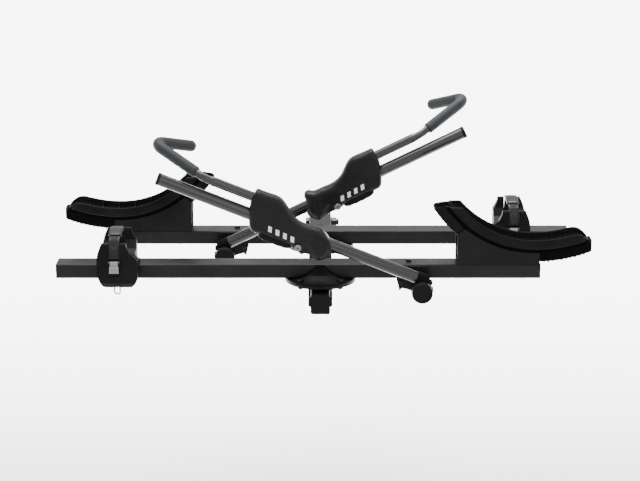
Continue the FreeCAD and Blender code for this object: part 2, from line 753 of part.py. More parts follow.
def make_arm_bracket_bolts():
    bolts = []
    forward = V(0, -1, 0)
    for which, side in SIDES.items():
        y = val(bar_y(which))
        z = dim("bar_z")
        face = y - dim("bar_depth") / 2 - 5.0
        through = V(side * float(FRONT_BOLT_X), face, z + 3.0)
        bolts.append(hex_bolt(through, forward, 4.0, 28.0, 13.0, 5.0))
        small = V(side * 214.0, face, z - 28.5)
        stop = hex_bolt(small, forward, 3.0, 9.0, 10.0, 4.0)
        bolts.append(stop.fuse(hexagon_prism(small + V(0, 5.0, 0), V(0, 1, 0), 10.0, 4.0)))
        top = V(side * float(ARM_BOLT_X), y, z + dim("bar_height") / 2)
        grip = dim("bar_height") + 12.0
        upright = hex_bolt(top, V(0, 0, 1), 4.0, grip, 13.0, 5.5)
        below = V(top.x, top.y, z - dim("bar_height") / 2 - 4.0)
        bolts.append(upright.fuse(hexagon_prism(below, V(0, 0, -1), 13.0, 6.5)))
    free_piece("arm_bracket_bolts", Part.makeCompound(bolts))


def make_pivot_pins():
    """Headed pins through the bracket plates; a washer on each end holds the knuckle."""
    pins = []
    for which, side in SIDES.items():
        x = side * dim("pivot_x")
        y = val(bar_y(which))
        z = dim("bar_z") + dim("pivot_z")
        back = y - dim("bar_depth") / 2
        front = y + dim("arm_y") - dim("knuckle_half") - dim("side_gap")
        forward = V(0, -1, 0)
        shank = cylinder(V(x, back, z), forward, dim("pin_radius"), back - front + 3.0)
        head = cylinder(V(x, back + 6.0, z), forward, 13.0, 6.0)
        collar_length = -dim("arm_y") - dim("knuckle_half") - dim("side_gap")
        collar_length -= dim("bar_depth") / 2 + 5.0
        collar = cylinder(V(x, back - 5.0, z), forward, 12.0, collar_length)
        washer = cylinder(V(x, front, z), forward, 13.0, 3.0)
        nut = hexagon_prism(V(x, front - 3.0, z), forward, 16.0, 6.0)
        pins.append(shank.fuse([head, collar, washer, nut]).removeSplitter())
    free_piece("arm_pivot_pins", Part.makeCompound(pins))


# ---------------------------------------------------------------- tilt release
def make_release():
    """A handle in the spine's mouth that pulls a rod and a latch pin."""
    handle = new_body("release_handle")
    half = "25.4"
    sketch = new_sketch(handle, "XZ_Plane", "-(dims.near_y - 10)")
    add_rectangle(sketch, "-" + half, "-" + half, half, half)
    block = pad(handle, sketch, "-10 - dims.handle_front")
    fillet(handle, block, "5", lambda e: runs_along(e, 1))
    grip = new_sketch(handle, "YZ_Plane")
    add_polygon(grip, [
        ("dims.near_y + dims.handle_front + 14", "-30"),
        ("dims.near_y + dims.handle_front + 14", "-16"),
        ("dims.near_y + dims.handle_front + 22", "-8"),
        ("dims.near_y + dims.handle_front + 60", "-8"),
        ("dims.near_y + dims.handle_front + 68", "-16"),
        ("dims.near_y + dims.handle_front + 68", "-30"),
    ])
    pocket(handle, grip, "38")
    socket = new_sketch(handle, "XZ_Plane", "-(dims.near_y - 10)")
    add_circle(socket, "0", "0", "5")
    pocket(handle, socket, "20", symmetric=False, reverse=True)
    place(handle)

    rod = doc.addObject("Part::Cylinder", "release_rod")
    rod.Label = "release_rod"
    rod.setExpression("Radius", "5")
    rod.setExpression("Height", "dims.tilt_y - 66 - dims.near_y + 30")
    rod.Placement = FreeCAD.Placement(V(0, 0, 0), FreeCAD.Rotation(V(0, 0, 1), V(0, 1, 0)))
    place(rod, y="dims.near_y - 30")
    pieces["release_rod"] = rod

    latch = new_body("latch_pin")
    shank = new_sketch(latch, "YZ_Plane")
    add_polygon(shank, [
        ("-66", "-9"), ("-40", "-9"), ("-25.5", "-4"), ("-25.5", "4"), ("-40", "9"),
        ("-66", "9"),
    ])
    pad(latch, shank, "30", symmetric=True)
    place(latch, y="dims.tilt_y")


# ---------------------------------------------------------------- arms
def arm_placement(which):
    """An arm's own frame has its origin at the pivot; it reaches along -X (near) or +X (far)."""
    side = SIDES[which]
    angle = dim(which + "_arm_angle")
    y = val(bar_y(which)) + dim("arm_y")
    base = V(side * dim("pivot_x"), y, dim("bar_z") + dim("pivot_z"))
    return FreeCAD.Placement(base, FreeCAD.Rotation(V(0, 1, 0), side * angle))


def place_on_arm(piece, which):
    piece.Placement = arm_placement(which)


class ArmFrame:
    """Shapes in an arm's own frame: u runs up the arm, v stands square to it."""

    def __init__(self, which):
        self.sign = -SIDES[which]

    def point(self, u, y, v):
        return V(self.sign * u, y, v)

    def along(self, u0, u1, radius, y=0.0, v=0.0):
        return cylinder(self.point(u0, y, v), V(self.sign, 0, 0), radius, u1 - u0)

    def block(self, low, high):
        ends = sorted((self.sign * low[0], self.sign * high[0]))
        return box((ends[0], low[1], low[2]), (ends[1], high[1], high[2]))

    def across(self, u, v, radius, y0, y1):
        return cylinder(self.point(u, y0, v), V(0, 1, 0), radius, y1 - y0)


def make_arm(which):
    arm = ArmFrame(which)
    offset = dim("tube_offset")
    radius = dim("tube_radius")
    tube = arm.along(dim("tube_start"), dim("tube_end"), radius, v=offset)
    tube = tube.cut(arm.along(0, 800, radius - dim("tube_wall"), v=offset))
    place_on_arm(free_piece(which + "_arm_tube", tube), which)

    plug = arm.along(dim("tube_end"), dim("tube_end") + 8.0, radius + 1.0, v=offset)
    plug = plug.makeFillet(4.0, [e for e in plug.Edges if outer_rim(e, arm, dim("tube_end") + 8.0)])
    stem = arm.along(dim("tube_end") - 22.0, dim("tube_end"), radius - dim("tube_wall"), v=offset)
    place_on_arm(free_piece(which + "_tube_plug", plug.fuse(stem)), which)

    half = dim("knuckle_half")
    knuckle = arm.across(0, 0, dim("knuckle_radius"), -half, half)
    socket = arm.along(-6.0, 26.0, radius + 2.5, v=offset)
    web = arm.block((-6.0, -radius - 1.0, 0.0), (20.0, radius + 1.0, offset))
    knuckle = knuckle.fuse([socket, web])
    knuckle = knuckle.cut(arm.along(dim("tube_start"), 60.0, radius, v=offset))
    bore = dim("pin_radius") + dim("running_gap")
    knuckle = knuckle.cut(arm.across(0, 0, bore, -40.0, 40.0))
    knuckle = knuckle.removeSplitter()
    place_on_arm(free_piece(which + "_arm_knuckle", knuckle), which)

    front = dim("cap_front")
    cap = arm.across(0, 0, dim("cap_radius"), -front, -half + 3.0)
    rims = [e for e in cap.Edges if abs(e.CenterOfMass.y + front) < 0.01]
    cap = cap.makeFillet(3.0, rims)
    cap = cap.cut(arm.across(0, 0, dim("knuckle_radius"), -front + 4.0, -half + 4.0))
    cap = cap.cut(arm.along(-60.0, 60.0, radius + 3.0, v=offset))
    cap = cap.cut(arm.block((-6.5, -radius - 1.5, 0.0), (20.5, radius + 1.5, offset)))
    place_on_arm(free_piece(which + "_pivot_cap", cap), which)


def outer_rim(edge, arm, u):
    """True for the circular edge at the distance u up the arm."""
    if edge.Curve.TypeId != "Part::GeomCircle":
        return False
    return abs(edge.CenterOfMass.x - arm.sign * u) < 0.01


# The ratchet housing's side outline: distance up the arm, height above the tube's axis.
HOUSING_OUTLINE = [
    (491, 66), (496, 34), (489, 4), (480, -18), (469, -36), (448, -40), (400, -40),
    (352, -40), (342, -45), (322, -43), (298, -45), (280, -48), (265, -44), (254, -32),
    (250, -18), (254, -4), (262, 8), (272, 19), (286, 26), (304, 28), (345, 26), (375, 34),
    (399, 52), (424, 67), (458, 68),
]
TRIGGER_SPAN = (354.0, 446.0)
LOCK_SPOT = (338.0, -33.0)
LOCK_RADIUS = 9.0
SCREW_SPOTS = ((437.0, 39.0), (408.0, 24.0), (300.0, -28.0))
TRIGGER_HINGE = (438.0, -35.0)
ROD_START = 446.0


def housing_points(arm):
    """The outline in the arm's frame."""
    shift = dim("housing_shift")
    offset = dim("tube_offset")
    return [(arm.sign * (u + shift), v + offset) for u, v in HOUSING_OUTLINE]


def housing_cuts(arm):
    """Everything that both half shells make room for."""
    shift = dim("housing_shift")
    offset = dim("tube_offset")
    tube_room = arm.along(200.0, 560.0, dim("tube_radius") + dim("side_gap"), v=offset)
    rod_room = arm.along(ROD_START - 2.0 + shift, 560.0, dim("rod_radius"),
                         v=offset + dim("rod_offset"))
    slot = arm.block((TRIGGER_SPAN[0] + shift - 3.0, -21.5, offset - 60.0),
                     (TRIGGER_SPAN[1] + shift + 3.0, 15.5, offset - 31.0))
    hinge = arm.across(TRIGGER_HINGE[0] + shift, TRIGGER_HINGE[1] + offset, 2.0, -24.5, 17.5)
    return [tube_room, rod_room, slot, hinge]


def make_housing(which):
    """The ratchet housing: two hollow half shells that meet in the arm's middle plane."""
    arm = ArmFrame(which)
    shift = dim("housing_shift")
    offset = dim("tube_offset")
    half = dim("housing_half")
    back = dim("housing_back")
    wall = dim("housing_wall")
    cuts = housing_cuts(arm)
    for label, y_out, y_join in (("_housing_front", -half, 0.0), ("_housing_rear", back, 0.0)):
        inward = -1.0 if y_out > 0 else 1.0
        outline = smooth_outline(housing_points(arm), y_out)
        shell = Part.Face(outline).extrude(V(0, -y_out, 0))
        inner = inner_outline(outline, wall, y_out + inward * wall)
        hollow = Part.Face(inner).extrude(V(0, -y_out, 0))
        shell = shell.cut(hollow)
        boss_cut = []
        for u, v in SCREW_SPOTS:
            low, high = sorted((y_out, y_join))
            post = arm.across(u + shift, v + offset, 5.5, low + 0.5, high)
            if y_out > 0:
                post = arm.across(u + shift, v + offset, 5.5, low, high - 0.5)
            shell = shell.fuse(post)
            boss_cut.append(arm.across(u + shift, v + offset, 2.0, -half - 1.0, back - 6.0))
            boss_cut.append(arm.across(u + shift, v + offset, 4.0, -half - 1.0, -half + 3.0))
        lock_room = arm.across(LOCK_SPOT[0] + shift, LOCK_SPOT[1] + offset,
                               LOCK_RADIUS + dim("side_gap"), -half - 1.0, 0.0)
        shell = shell.cut(cuts + boss_cut + [lock_room])
        if len(shell.Solids) > 1:
            shell = max(shell.Solids, key=lambda solid: solid.Volume)
        place_on_arm(free_piece(which + label, shell), which)

    screws = []
    for u, v in SCREW_SPOTS:
        head = arm.across(u + shift, v + offset, 4.0, -half + 1.0, -half + 3.0)
        shank = arm.across(u + shift, v + offset, 2.0, -half + 3.0, back - 6.5)
        screws.append(head.fuse(shank))
    place_on_arm(free_piece(which + "_housing_screws", Part.makeCompound(screws)), which)


def hook_route(arm):
    """The hook's centre line: up the arm, then a V that reaches over the tyre and back."""
    shift = dim("housing_shift")
    offset = dim("tube_offset")
    rod = dim("rod_offset")
    corners = [
        (ROD_START, 0.0, rod), (629.0, 0.0, rod), (792.4, 84.0, rod + 19.4),
        (689.0, 164.0, rod + 26.2),
    ]
    return [arm.point(u + shift, y, v + offset) for u, y, v in corners]


def make_hook(which):
    arm = ArmFrame(which)
    shift = dim("housing_shift")
    route = hook_route(arm)
    path = rounded_path(route, [60.0, 26.0])
    rod = pipe(path, dim("rod_radius") - 2.0)
    lower = arm.along(ROD_START + shift, 607.0 + shift, dim("rod_radius"),
                      v=dim("tube_offset") + dim("rod_offset"))
    rod_piece = rod.fuse(lower).removeSplitter()
    place_on_arm(free_piece(which + "_hook_rod", rod_piece), which)

    sleeve = pipe(path, dim("sleeve_radius"))
    tip = Part.makeSphere(dim("sleeve_radius"), route[-1])
    keep_from = 652.0 + shift
    near_side = arm.block((300.0, -60.0, -200.0), (keep_from, 40.0, 300.0))
    sleeve = sleeve.fuse(tip).cut(near_side)
    sleeve = max(sleeve.Solids, key=lambda solid: solid.Volume)
    sleeve = sleeve.cut(rod)
    place_on_arm(free_piece(which + "_hook_sleeve", sleeve), which)


def make_trigger(which):
    """The squeeze trigger under the housing, its pawl, and the key lock beside it."""
    arm = ArmFrame(which)
    shift = dim("housing_shift")
    offset = dim("tube_offset")
    low, high = TRIGGER_SPAN
    outline = [
        (low, -51), (low + 30, -52), (high - 30, -52), (high - 4, -48), (high, -40),
        (high - 6, -30), (low + 40, -28), (low + 3, -32), (low, -40),
    ]
    ring = [arm.point(u + shift, -20.0, v + offset) for u, v in outline]
    ring.append(ring[0])
    lever = Part.Face(Part.makePolygon(ring)).extrude(V(0, 34.0, 0))
    edges = [e for e in lever.Edges if e.CenterOfMass.z < offset - 46 and not runs_along(e, 1)]
    lever = lever.makeFillet(4.0, edges)
    hinge_u = TRIGGER_HINGE[0] + shift
    hinge_v = TRIGGER_HINGE[1] + offset
    bore = 2.0 + dim("running_gap")
    lever = lever.cut(arm.across(hinge_u, hinge_v, bore, -30.0, 30.0))
    place_on_arm(free_piece(which + "_trigger", lever), which)

    pawl_ring = [
        (446, -35), (460, -31), (461, -21), (456, -17.1), (448, -17.1), (440, -26),
        (440, -29.8),
    ]
    ring = [arm.point(u + shift, -8.0, v + offset) for u, v in pawl_ring]
    ring.append(ring[0])
    pawl = Part.Face(Part.makePolygon(ring)).extrude(V(0, 16.0, 0))
    pawl = pawl.cut(lever)
    pawl = max(pawl.Solids, key=lambda solid: solid.Volume)
    place_on_arm(free_piece(which + "_pawl", pawl), which)
    pin = arm.across(hinge_u, hinge_v, 2.0, -24.5, 17.5)
    place_on_arm(free_piece(which + "_trigger_pin", pin), which)

    half = dim("housing_half")
    u = LOCK_SPOT[0] + shift
    v = LOCK_SPOT[1] + offset
    barrel = arm.across(u, v, LOCK_RADIUS, -half - 2.0, -half + 20.0)
    rims = [e for e in barrel.Edges if abs(e.CenterOfMass.y + half + 2.0) < 0.01]
    barrel = barrel.makeChamfer(1.0, rims)
    keyway = arm.block((u - 4.5, -half - 3.0, v - 1.1), (u + 4.5, -half + 6.0, v + 1.1))
    place_on_arm(free_piece(which + "_lock_barrel", barrel.cut(keyway)), which)


# ---------------------------------------------------------------- strap blocks
def make_strap_block(which):
    """A cradle that slides on the bar: front and rear walls with the tyre between them."""
    side = SIDES[which]
    body = new_body(which + "_strap_block")
    sketch = new_sketch(body, "YZ_Plane")
    half = [
        ("0", "-38"), ("52", "-37"), ("70", "-31"), ("78", "-18"), ("81", "10"), ("83", "50"),
        ("83", "dims.prong_top - 3"), ("80", "dims.prong_top"), ("72", "dims.prong_top"),
        ("69", "dims.prong_top - 6"), ("62", "62"), ("44", "42"), ("20", "31"), ("0", "28"),
    ]
    other = [("-" + y, z) for y, z in reversed(half[1:-1])]
    add_polygon(sketch, half + other)
    pad(body, sketch, "2 * dims.block_half", symmetric=True)
    hole = new_sketch(body, "YZ_Plane")
    wide = "dims.bar_depth / 2 + dims.block_gap"
    tall = "dims.bar_height / 2 + dims.block_gap"
    add_rectangle(hole, "-(%s)" % wide, "-(%s)" % tall, wide, tall)
    pocket(body, hole)

    # Cut-outs seen from the front: the outer corner, the strap's slot and the inner shoulder.
    # Distances run outwards from the block's centre.
    top = "dims.prong_top + 10"
    shapes = [
        [("62", top), ("62", "20"), ("55", "40"), ("53.5", "58"), ("50", "71"),
         ("45.5", "82"), ("41", "91.5"), ("40", top)],
        [("dims.strap_x - dims.block_x + 13.6", top), ("dims.strap_x - dims.block_x + 13.6", "46"),
         ("dims.strap_x - dims.block_x - 13.6", "46"),
         ("dims.strap_x - dims.block_x - 13.6", top)],
        [("-60", top), ("-60", "-12"), ("-50.5", "-12"), ("-50.5", "44"), ("-44", "54"),
         ("-33", "62"), ("-24", "80"), ("-22", top)],
        [("62", "-50"), ("62", "8"), ("55", "2"), ("49", "-14"), ("44", "-26"), ("34", "-34"),
         ("18", "-50")],
        [("-60", "-50"), ("-60", "-5"), ("-50.4", "-8"), ("-45", "-20"), ("-35", "-31"),
         ("-14", "-50")],
    ]
    for corners in shapes:
        cut = new_sketch(body, "XZ_Plane")
        add_polygon(cut, [(signed(-side, x), z) for x, z in corners])
        pocket(body, cut)

    # The rear wall's inner edge stands further out than the front wall's.
    rear = new_sketch(body, "XZ_Plane", "-4")
    corners = [("-60", top), ("-60", "-60"), ("-36", "-60"), ("-36", "66"), ("-30", "78"),
               ("-22", top)]
    add_polygon(rear, [(signed(-side, x), z) for x, z in corners])
    pocket(body, rear, "100", symmetric=False)

    # The buckle's recess runs down the front wall.
    recess = new_sketch(body, "XZ_Plane", "76")
    offset = "(dims.strap_x - dims.block_x)"
    add_rectangle(recess, signed(-side, offset + " - 13.6"), "2",
                  signed(-side, offset + " + 13.6"), "60")
    pocket(body, recess, "10", symmetric=False, reverse=True)
    place_on_bar(body, which, signed(-side, "dims.block_x"))


def strap_line():
    """The strap's middle line in the YZ plane, from its buckle over the cradle to its anchor."""
    points = [
        V(0, -81.5, 50), V(0, -81.5, 76), V(0, -62, 99), V(0, -10, 106), V(0, 40, 101),
        V(0, 66, 78), V(0, 66, 46),
    ]
    return rounded_path(points, [16.0, 22.0, 60.0, 22.0, 12.0])


def make_strap(which):
    side = SIDES[which]
    width = dim("strap_width")
    thick = dim("strap_thick")
    path = strap_line()
    start = V(-width / 2, -81.5 - thick / 2, 50)
    corners = [start, start + V(width, 0, 0), start + V(width, thick, 0), start + V(0, thick, 0)]
    corners.append(corners[0])
    band = path.makePipeShell([Part.makePolygon(corners)], True, False)
    piece = free_piece(which + "_wheel_strap", band)
    x = -side * dim("strap_x")
    piece.Placement = FreeCAD.Placement(V(x, val(bar_y(which)), dim("bar_z")), FreeCAD.Rotation())


def make_buckle(which):
    """The ratchet buckle: a base in the block's recess and a lever that flips outwards."""
    side = SIDES[which]
    centre = V(-side * dim("strap_x"), val(bar_y(which)), dim("bar_z"))
    base = box((-13.0, -79.0, 4.0), (13.0, -76.0, 59.0))
    cheeks = [box((x, -91.0, 33.0), (x + 2.0, -79.0, 48.0)) for x in (-13.0, 11.0)]
    base = base.fuse(cheeks)
    base = base.cut(cylinder(V(-20, -87.0, 42.0), V(1, 0, 0), 2.0 + dim("running_gap"), 40.0))
    base = base.removeSplitter()
    piece = free_piece(which + "_buckle_base", base)
    piece.Placement = FreeCAD.Placement(centre, FreeCAD.Rotation())

    axle = cylinder(V(-14.5, -87.0, 42.0), V(1, 0, 0), 2.0, 29.0)
    plate = box((-10.5, -89.5, 13.0), (10.5, -86.0, 41.0))
    drum = cylinder(V(-10.5, -87.0, 42.0), V(1, 0, 0), 3.0, 21.0)
    button = box((-12.4, -93.0, 13.0), (12.4, -88.0, 31.5))
    soft = [e for e in button.Edges if e.CenterOfMass.y < -92.5]
    button = button.makeFillet(2.0, soft)
    lever = axle.fuse([plate, drum, button]).removeSplitter()
    piece = free_piece(which + "_buckle_lever", lever)
    piece.Placement = FreeCAD.Placement(centre, FreeCAD.Rotation())


# ---------------------------------------------------------------- build everything
make_stinger()
make_index_hub()
make_spine()
make_tilt_hardware()
make_cross_plates()
make_hub_fasteners()
make_bar_caps()
make_tray_bolts()
make_arm_bracket_bolts()
make_pivot_pins()
make_release()
for which in SIDES:
    make_hub(which)
    make_bar(which)
    make_tray(which)
    make_tray_bracket(which)
    make_arm_bracket(which)
    make_arm(which)
    make_housing(which)
    make_hook(which)
    make_trigger(which)
    make_strap_block(which)
    make_strap(which)
    make_buckle(which)
doc.recompute()

# ---------------------------------------------------------------- check and write
for thing in doc.Objects:
    if "Invalid" in thing.State or "Error" in thing.State:
        raise RuntimeError("%s did not recompute: %s" % (thing.Label, thing.State))
for label, piece in pieces.items():
    if piece.Shape.isNull() or not piece.Shape.isValid() or piece.Shape.Volume <= 0:
        raise RuntimeError("%s has no valid solid" % label)

os.makedirs("parts", exist_ok=True)
for label, piece in pieces.items():
    piece.Shape.exportStep(os.path.join("parts", label + ".step"))
print("wrote", len(pieces), "parts")
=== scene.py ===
import json
import math
import bmesh
import bpy
from mathutils import Matrix, Vector
from mathutils.geometry import delaunay_2d_cdt
from mathutils.kdtree import KDTree


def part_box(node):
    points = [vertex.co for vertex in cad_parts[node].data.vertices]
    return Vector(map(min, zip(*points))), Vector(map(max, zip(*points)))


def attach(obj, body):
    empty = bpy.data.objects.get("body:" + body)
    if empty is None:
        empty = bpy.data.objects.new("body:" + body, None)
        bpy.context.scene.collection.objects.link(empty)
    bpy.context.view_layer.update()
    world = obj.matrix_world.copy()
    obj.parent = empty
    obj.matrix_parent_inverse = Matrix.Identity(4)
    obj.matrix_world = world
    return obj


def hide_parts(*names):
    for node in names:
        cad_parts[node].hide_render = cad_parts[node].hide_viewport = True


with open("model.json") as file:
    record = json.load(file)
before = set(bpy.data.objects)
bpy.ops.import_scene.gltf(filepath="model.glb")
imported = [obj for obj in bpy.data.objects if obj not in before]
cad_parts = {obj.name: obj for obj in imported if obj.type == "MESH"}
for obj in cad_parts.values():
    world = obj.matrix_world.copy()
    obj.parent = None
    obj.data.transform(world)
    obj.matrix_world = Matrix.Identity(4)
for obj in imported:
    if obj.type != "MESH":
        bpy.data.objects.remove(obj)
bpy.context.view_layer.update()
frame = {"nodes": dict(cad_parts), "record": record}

NODES = frame["nodes"]
SIDES = {"near": 1, "far": -1}    # the far set is the near set mirrored in X
MM = 0.001
FLOOR_Z = -0.75


# ---------------------------------------------------------------- camera, light and floor
# The camera was fitted to the photo: lens in mm, angles in radians, lengths in m.
LENS = 98.87
ELEVATION = 0.2868
DISTANCE = 4.82575
TARGET_FROM_BAR = (-0.0009, 0.1596, 0.0296)


def make_camera():
    camera = bpy.data.cameras.new("camera")
    camera.lens = LENS
    camera.sensor_width = 36.0
    camera.sensor_fit = "HORIZONTAL"
    camera.clip_end = 100.0
    holder = bpy.data.objects.new("camera", camera)
    bpy.context.scene.collection.objects.link(holder)
    low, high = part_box("near_bar")
    dx, dy, dz = TARGET_FROM_BAR
    target = Vector((dx, (low[1] + high[1]) / 2 + dy, (low[2] + high[2]) / 2 + dz))
    holder.location = target + DISTANCE * Vector((0, -math.cos(ELEVATION), math.sin(ELEVATION)))
    holder.rotation_euler = (math.pi / 2 - ELEVATION, 0, 0)
    bpy.context.scene.camera = holder


def area_light(name, place, aim, size, power):
    data = bpy.data.lights.new(name, "AREA")
    data.shape = "RECTANGLE"
    data.size = size
    data.size_y = size
    data.energy = power
    lamp = bpy.data.objects.new(name, data)
    bpy.context.scene.collection.objects.link(lamp)
    lamp.location = place
    lamp.rotation_euler = (Vector(aim) - Vector(place)).to_track_quat("-Z", "Y").to_euler()
    return lamp


def make_studio():
    world = bpy.data.worlds.new("studio")
    bpy.context.scene.world = world
    world.use_nodes = True
    back = world.node_tree.nodes["Background"]
    back.inputs["Color"].default_value = (1, 1, 1, 1)
    back.inputs["Strength"].default_value = 1.2
    area_light("key", (-0.8, -0.9, 3.2), (0, -0.6, 0.1), 1.6, 45.0)
    area_light("side", (3.2, -1.6, 2.0), (0.2, -0.7, 0.1), 1.4, 18.0)
    area_light("front_soft", (0.6, -5.0, 2.6), (0, -0.7, 0.1), 2.4, 15.0)
    # A narrow beam behind the rack whitens the floor there and leaves the rack itself dark.
    panel = area_light("floor_panel", (0, 6.0, 2.8), (0, 6.0, FLOOR_Z), 12.0, 3300.0)
    panel.data.spread = math.radians(70.0)

    floor_mesh = bpy.data.meshes.new("floor")
    half = 30.0
    corners = [(-half, -half, FLOOR_Z), (half, -half, FLOOR_Z), (half, half, FLOOR_Z), (-half, half, FLOOR_Z)]
    floor_mesh.from_pydata(corners, [], [(0, 1, 2, 3)])
    floor = bpy.data.objects.new("floor", floor_mesh)
    bpy.context.scene.collection.objects.link(floor)
    paint = bpy.data.materials.new("floor_paint")
    paint.use_nodes = True
    shader = paint.node_tree.nodes["Principled BSDF"]
    shader.inputs["Base Color"].default_value = (0.93, 0.93, 0.93, 1)
    shader.inputs["Roughness"].default_value = 0.9
    floor_mesh.materials.append(paint)


make_camera()
make_studio()


# ---------------------------------------------------------------- materials
ROUGH_VARY = 0.08


def surface(name, color, rough, grain, grain_scale, metal=0.0, vary=0.25, coat=0.0, sheen=0.0,
            brushed=None, scuff=0.0, specular=0.5):
    """A node material: a mottled colour, uneven roughness, a fine grain and light scuffs."""
    mat = bpy.data.materials.new(name)
    mat.use_nodes = True
    tree = mat.node_tree
    nodes = tree.nodes
    links = tree.links
    shader = nodes["Principled BSDF"]
    shader.inputs["Metallic"].default_value = metal
    shader.inputs["Coat Weight"].default_value = coat
    shader.inputs["Coat Roughness"].default_value = 0.12
    shader.inputs["Sheen Weight"].default_value = sheen
    shader.inputs["Specular IOR Level"].default_value = specular
    place = nodes.new("ShaderNodeTexCoord")
    broad = nodes.new("ShaderNodeTexNoise")
    broad.inputs["Scale"].default_value = 14.0
    broad.inputs["Detail"].default_value = 6.0
    links.new(place.outputs["Object"], broad.inputs["Vector"])
    ramp = nodes.new("ShaderNodeValToRGB")
    dark = [c * (1.0 - vary) for c in color]
    light = [min(1.0, c * (1.0 + vary)) for c in color]
    ramp.color_ramp.elements[0].position = 0.35
    ramp.color_ramp.elements[0].color = (*dark, 1)
    ramp.color_ramp.elements[1].position = 0.65
    ramp.color_ramp.elements[1].color = (*light, 1)
    links.new(broad.outputs["Fac"], ramp.inputs["Fac"])
    colour_out = ramp.outputs["Color"]
    if scuff > 0:
        marks = nodes.new("ShaderNodeTexNoise")
        marks.inputs["Scale"].default_value = 60.0
        marks.inputs["Detail"].default_value = 10.0
        marks.inputs["Roughness"].default_value = 0.7
        links.new(place.outputs["Object"], marks.inputs["Vector"])
        pick = nodes.new("ShaderNodeMapRange")
        pick.inputs["From Min"].default_value = 0.60
        pick.inputs["From Max"].default_value = 0.72
        pick.inputs["To Max"].default_value = scuff
        links.new(marks.outputs["Fac"], pick.inputs["Value"])
        mix = nodes.new("ShaderNodeMixRGB")
        mix.inputs["Color2"].default_value = (*[min(1.0, c * 2.6 + 0.02) for c in color], 1)
        links.new(pick.outputs["Result"], mix.inputs["Fac"])
        links.new(colour_out, mix.inputs["Color1"])
        colour_out = mix.outputs["Color"]
    links.new(colour_out, shader.inputs["Base Color"])
    fine = nodes.new("ShaderNodeTexNoise")
    fine.inputs["Scale"].default_value = grain_scale
    fine.inputs["Detail"].default_value = 3.0
    if brushed is not None:
        stretch = nodes.new("ShaderNodeMapping")
        stretch.inputs["Scale"].default_value = brushed
        links.new(place.outputs["Object"], stretch.inputs["Vector"])
        links.new(stretch.outputs["Vector"], fine.inputs["Vector"])
    else:
        links.new(place.outputs["Object"], fine.inputs["Vector"])
    spread = nodes.new("ShaderNodeMapRange")
    spread.inputs["From Min"].default_value = 0.3
    spread.inputs["From Max"].default_value = 0.7
    spread.inputs["To Min"].default_value = max(0.02, rough - ROUGH_VARY)
    spread.inputs["To Max"].default_value = min(1.0, rough + ROUGH_VARY)
    links.new(fine.outputs["Fac"] if brushed is not None else broad.outputs["Fac"], spread.inputs["Value"])
    links.new(spread.outputs["Result"], shader.inputs["Roughness"])
    bump = nodes.new("ShaderNodeBump")
    bump.inputs["Strength"].default_value = grain
    bump.inputs["Distance"].default_value = 0.0004
    links.new(fine.outputs["Fac"], bump.inputs["Height"])
    links.new(bump.outputs["Normal"], shader.inputs["Normal"])
    return mat


LOOKS = {
    "powder_coat": dict(color=(0.0062, 0.0062, 0.0066), rough=0.42, grain=0.35, grain_scale=700,
                        scuff=0.12, specular=0.15),
    "bar_paint": dict(color=(0.0105, 0.0105, 0.011), rough=0.40, grain=0.35, grain_scale=700,
                      scuff=0.12, specular=0.18),
    "tube_paint": dict(color=(0.007, 0.007, 0.0075), rough=0.20, grain=0.10, grain_scale=500,
                       coat=0.5, scuff=0.1),
    # hub_paint is black paint made darker than the powder coat, partly painted shade for the hub's plate
    # under the bar
    "hub_paint": dict(color=(0.0035, 0.0035, 0.0038), rough=0.5, grain=0.5, grain_scale=420,
                      scuff=0.12, specular=0.05),
    "hub_iron": dict(color=(0.10, 0.10, 0.10), rough=0.45, grain=0.4, grain_scale=300, metal=0.9,
                     scuff=0.2),
    "dark_zinc": dict(color=(0.022, 0.022, 0.024), rough=0.38, grain=0.25, grain_scale=900,
                      metal=0.9, scuff=0.3),
    "bright_metal": dict(color=(0.26, 0.26, 0.27), rough=0.30, grain=0.15, grain_scale=1400,
                         metal=1.0),
    "buckle_metal": dict(color=(0.34, 0.345, 0.35), rough=0.34, grain=0.35, grain_scale=60,
                         metal=1.0, brushed=(60, 8, 8)),
    "black_plastic": dict(color=(0.0036, 0.0036, 0.004), rough=0.45, grain=0.5, grain_scale=1500,
                          specular=0.12),
    "tray_plastic": dict(color=(0.0056, 0.0056, 0.0060), rough=0.46, grain=0.6, grain_scale=1300,
                         scuff=0.08, specular=0.09),
    "housing_plastic": dict(color=(0.0066, 0.0066, 0.007), rough=0.38, grain=0.45,
                            grain_scale=1500, specular=0.20),
    "strap_plastic": dict(color=(0.011, 0.011, 0.0115), rough=0.38, grain=0.4, grain_scale=1200,
                          specular=0.26),
    "grey_rubber": dict(color=(0.020, 0.023, 0.0255), rough=0.55, grain=0.7, grain_scale=1100,
                        vary=0.12, sheen=0.05, specular=0.3),
    # painted shade: a darker, duller copy of the tray plastic for the undercut, the keel and the teeth under
    # the band
    "tray_painted_shade": dict(color=(0.0020, 0.0020, 0.0022), rough=0.60, grain=0.6,
                           grain_scale=900, specular=0.03),
    "pale_inlay": dict(color=(0.80, 0.80, 0.80), rough=0.45, grain=0.2, grain_scale=1400,
                       vary=0.04),
}
MATERIALS = {name: surface(name, **look) for name, look in LOOKS.items()}
SLOTS = {entry["node"]: entry["material_slot"] for entry in frame["record"]["subparts"]}
for node, holder in NODES.items():
    holder.data.materials.clear()
    holder.data.materials.append(MATERIALS[SLOTS[node]])


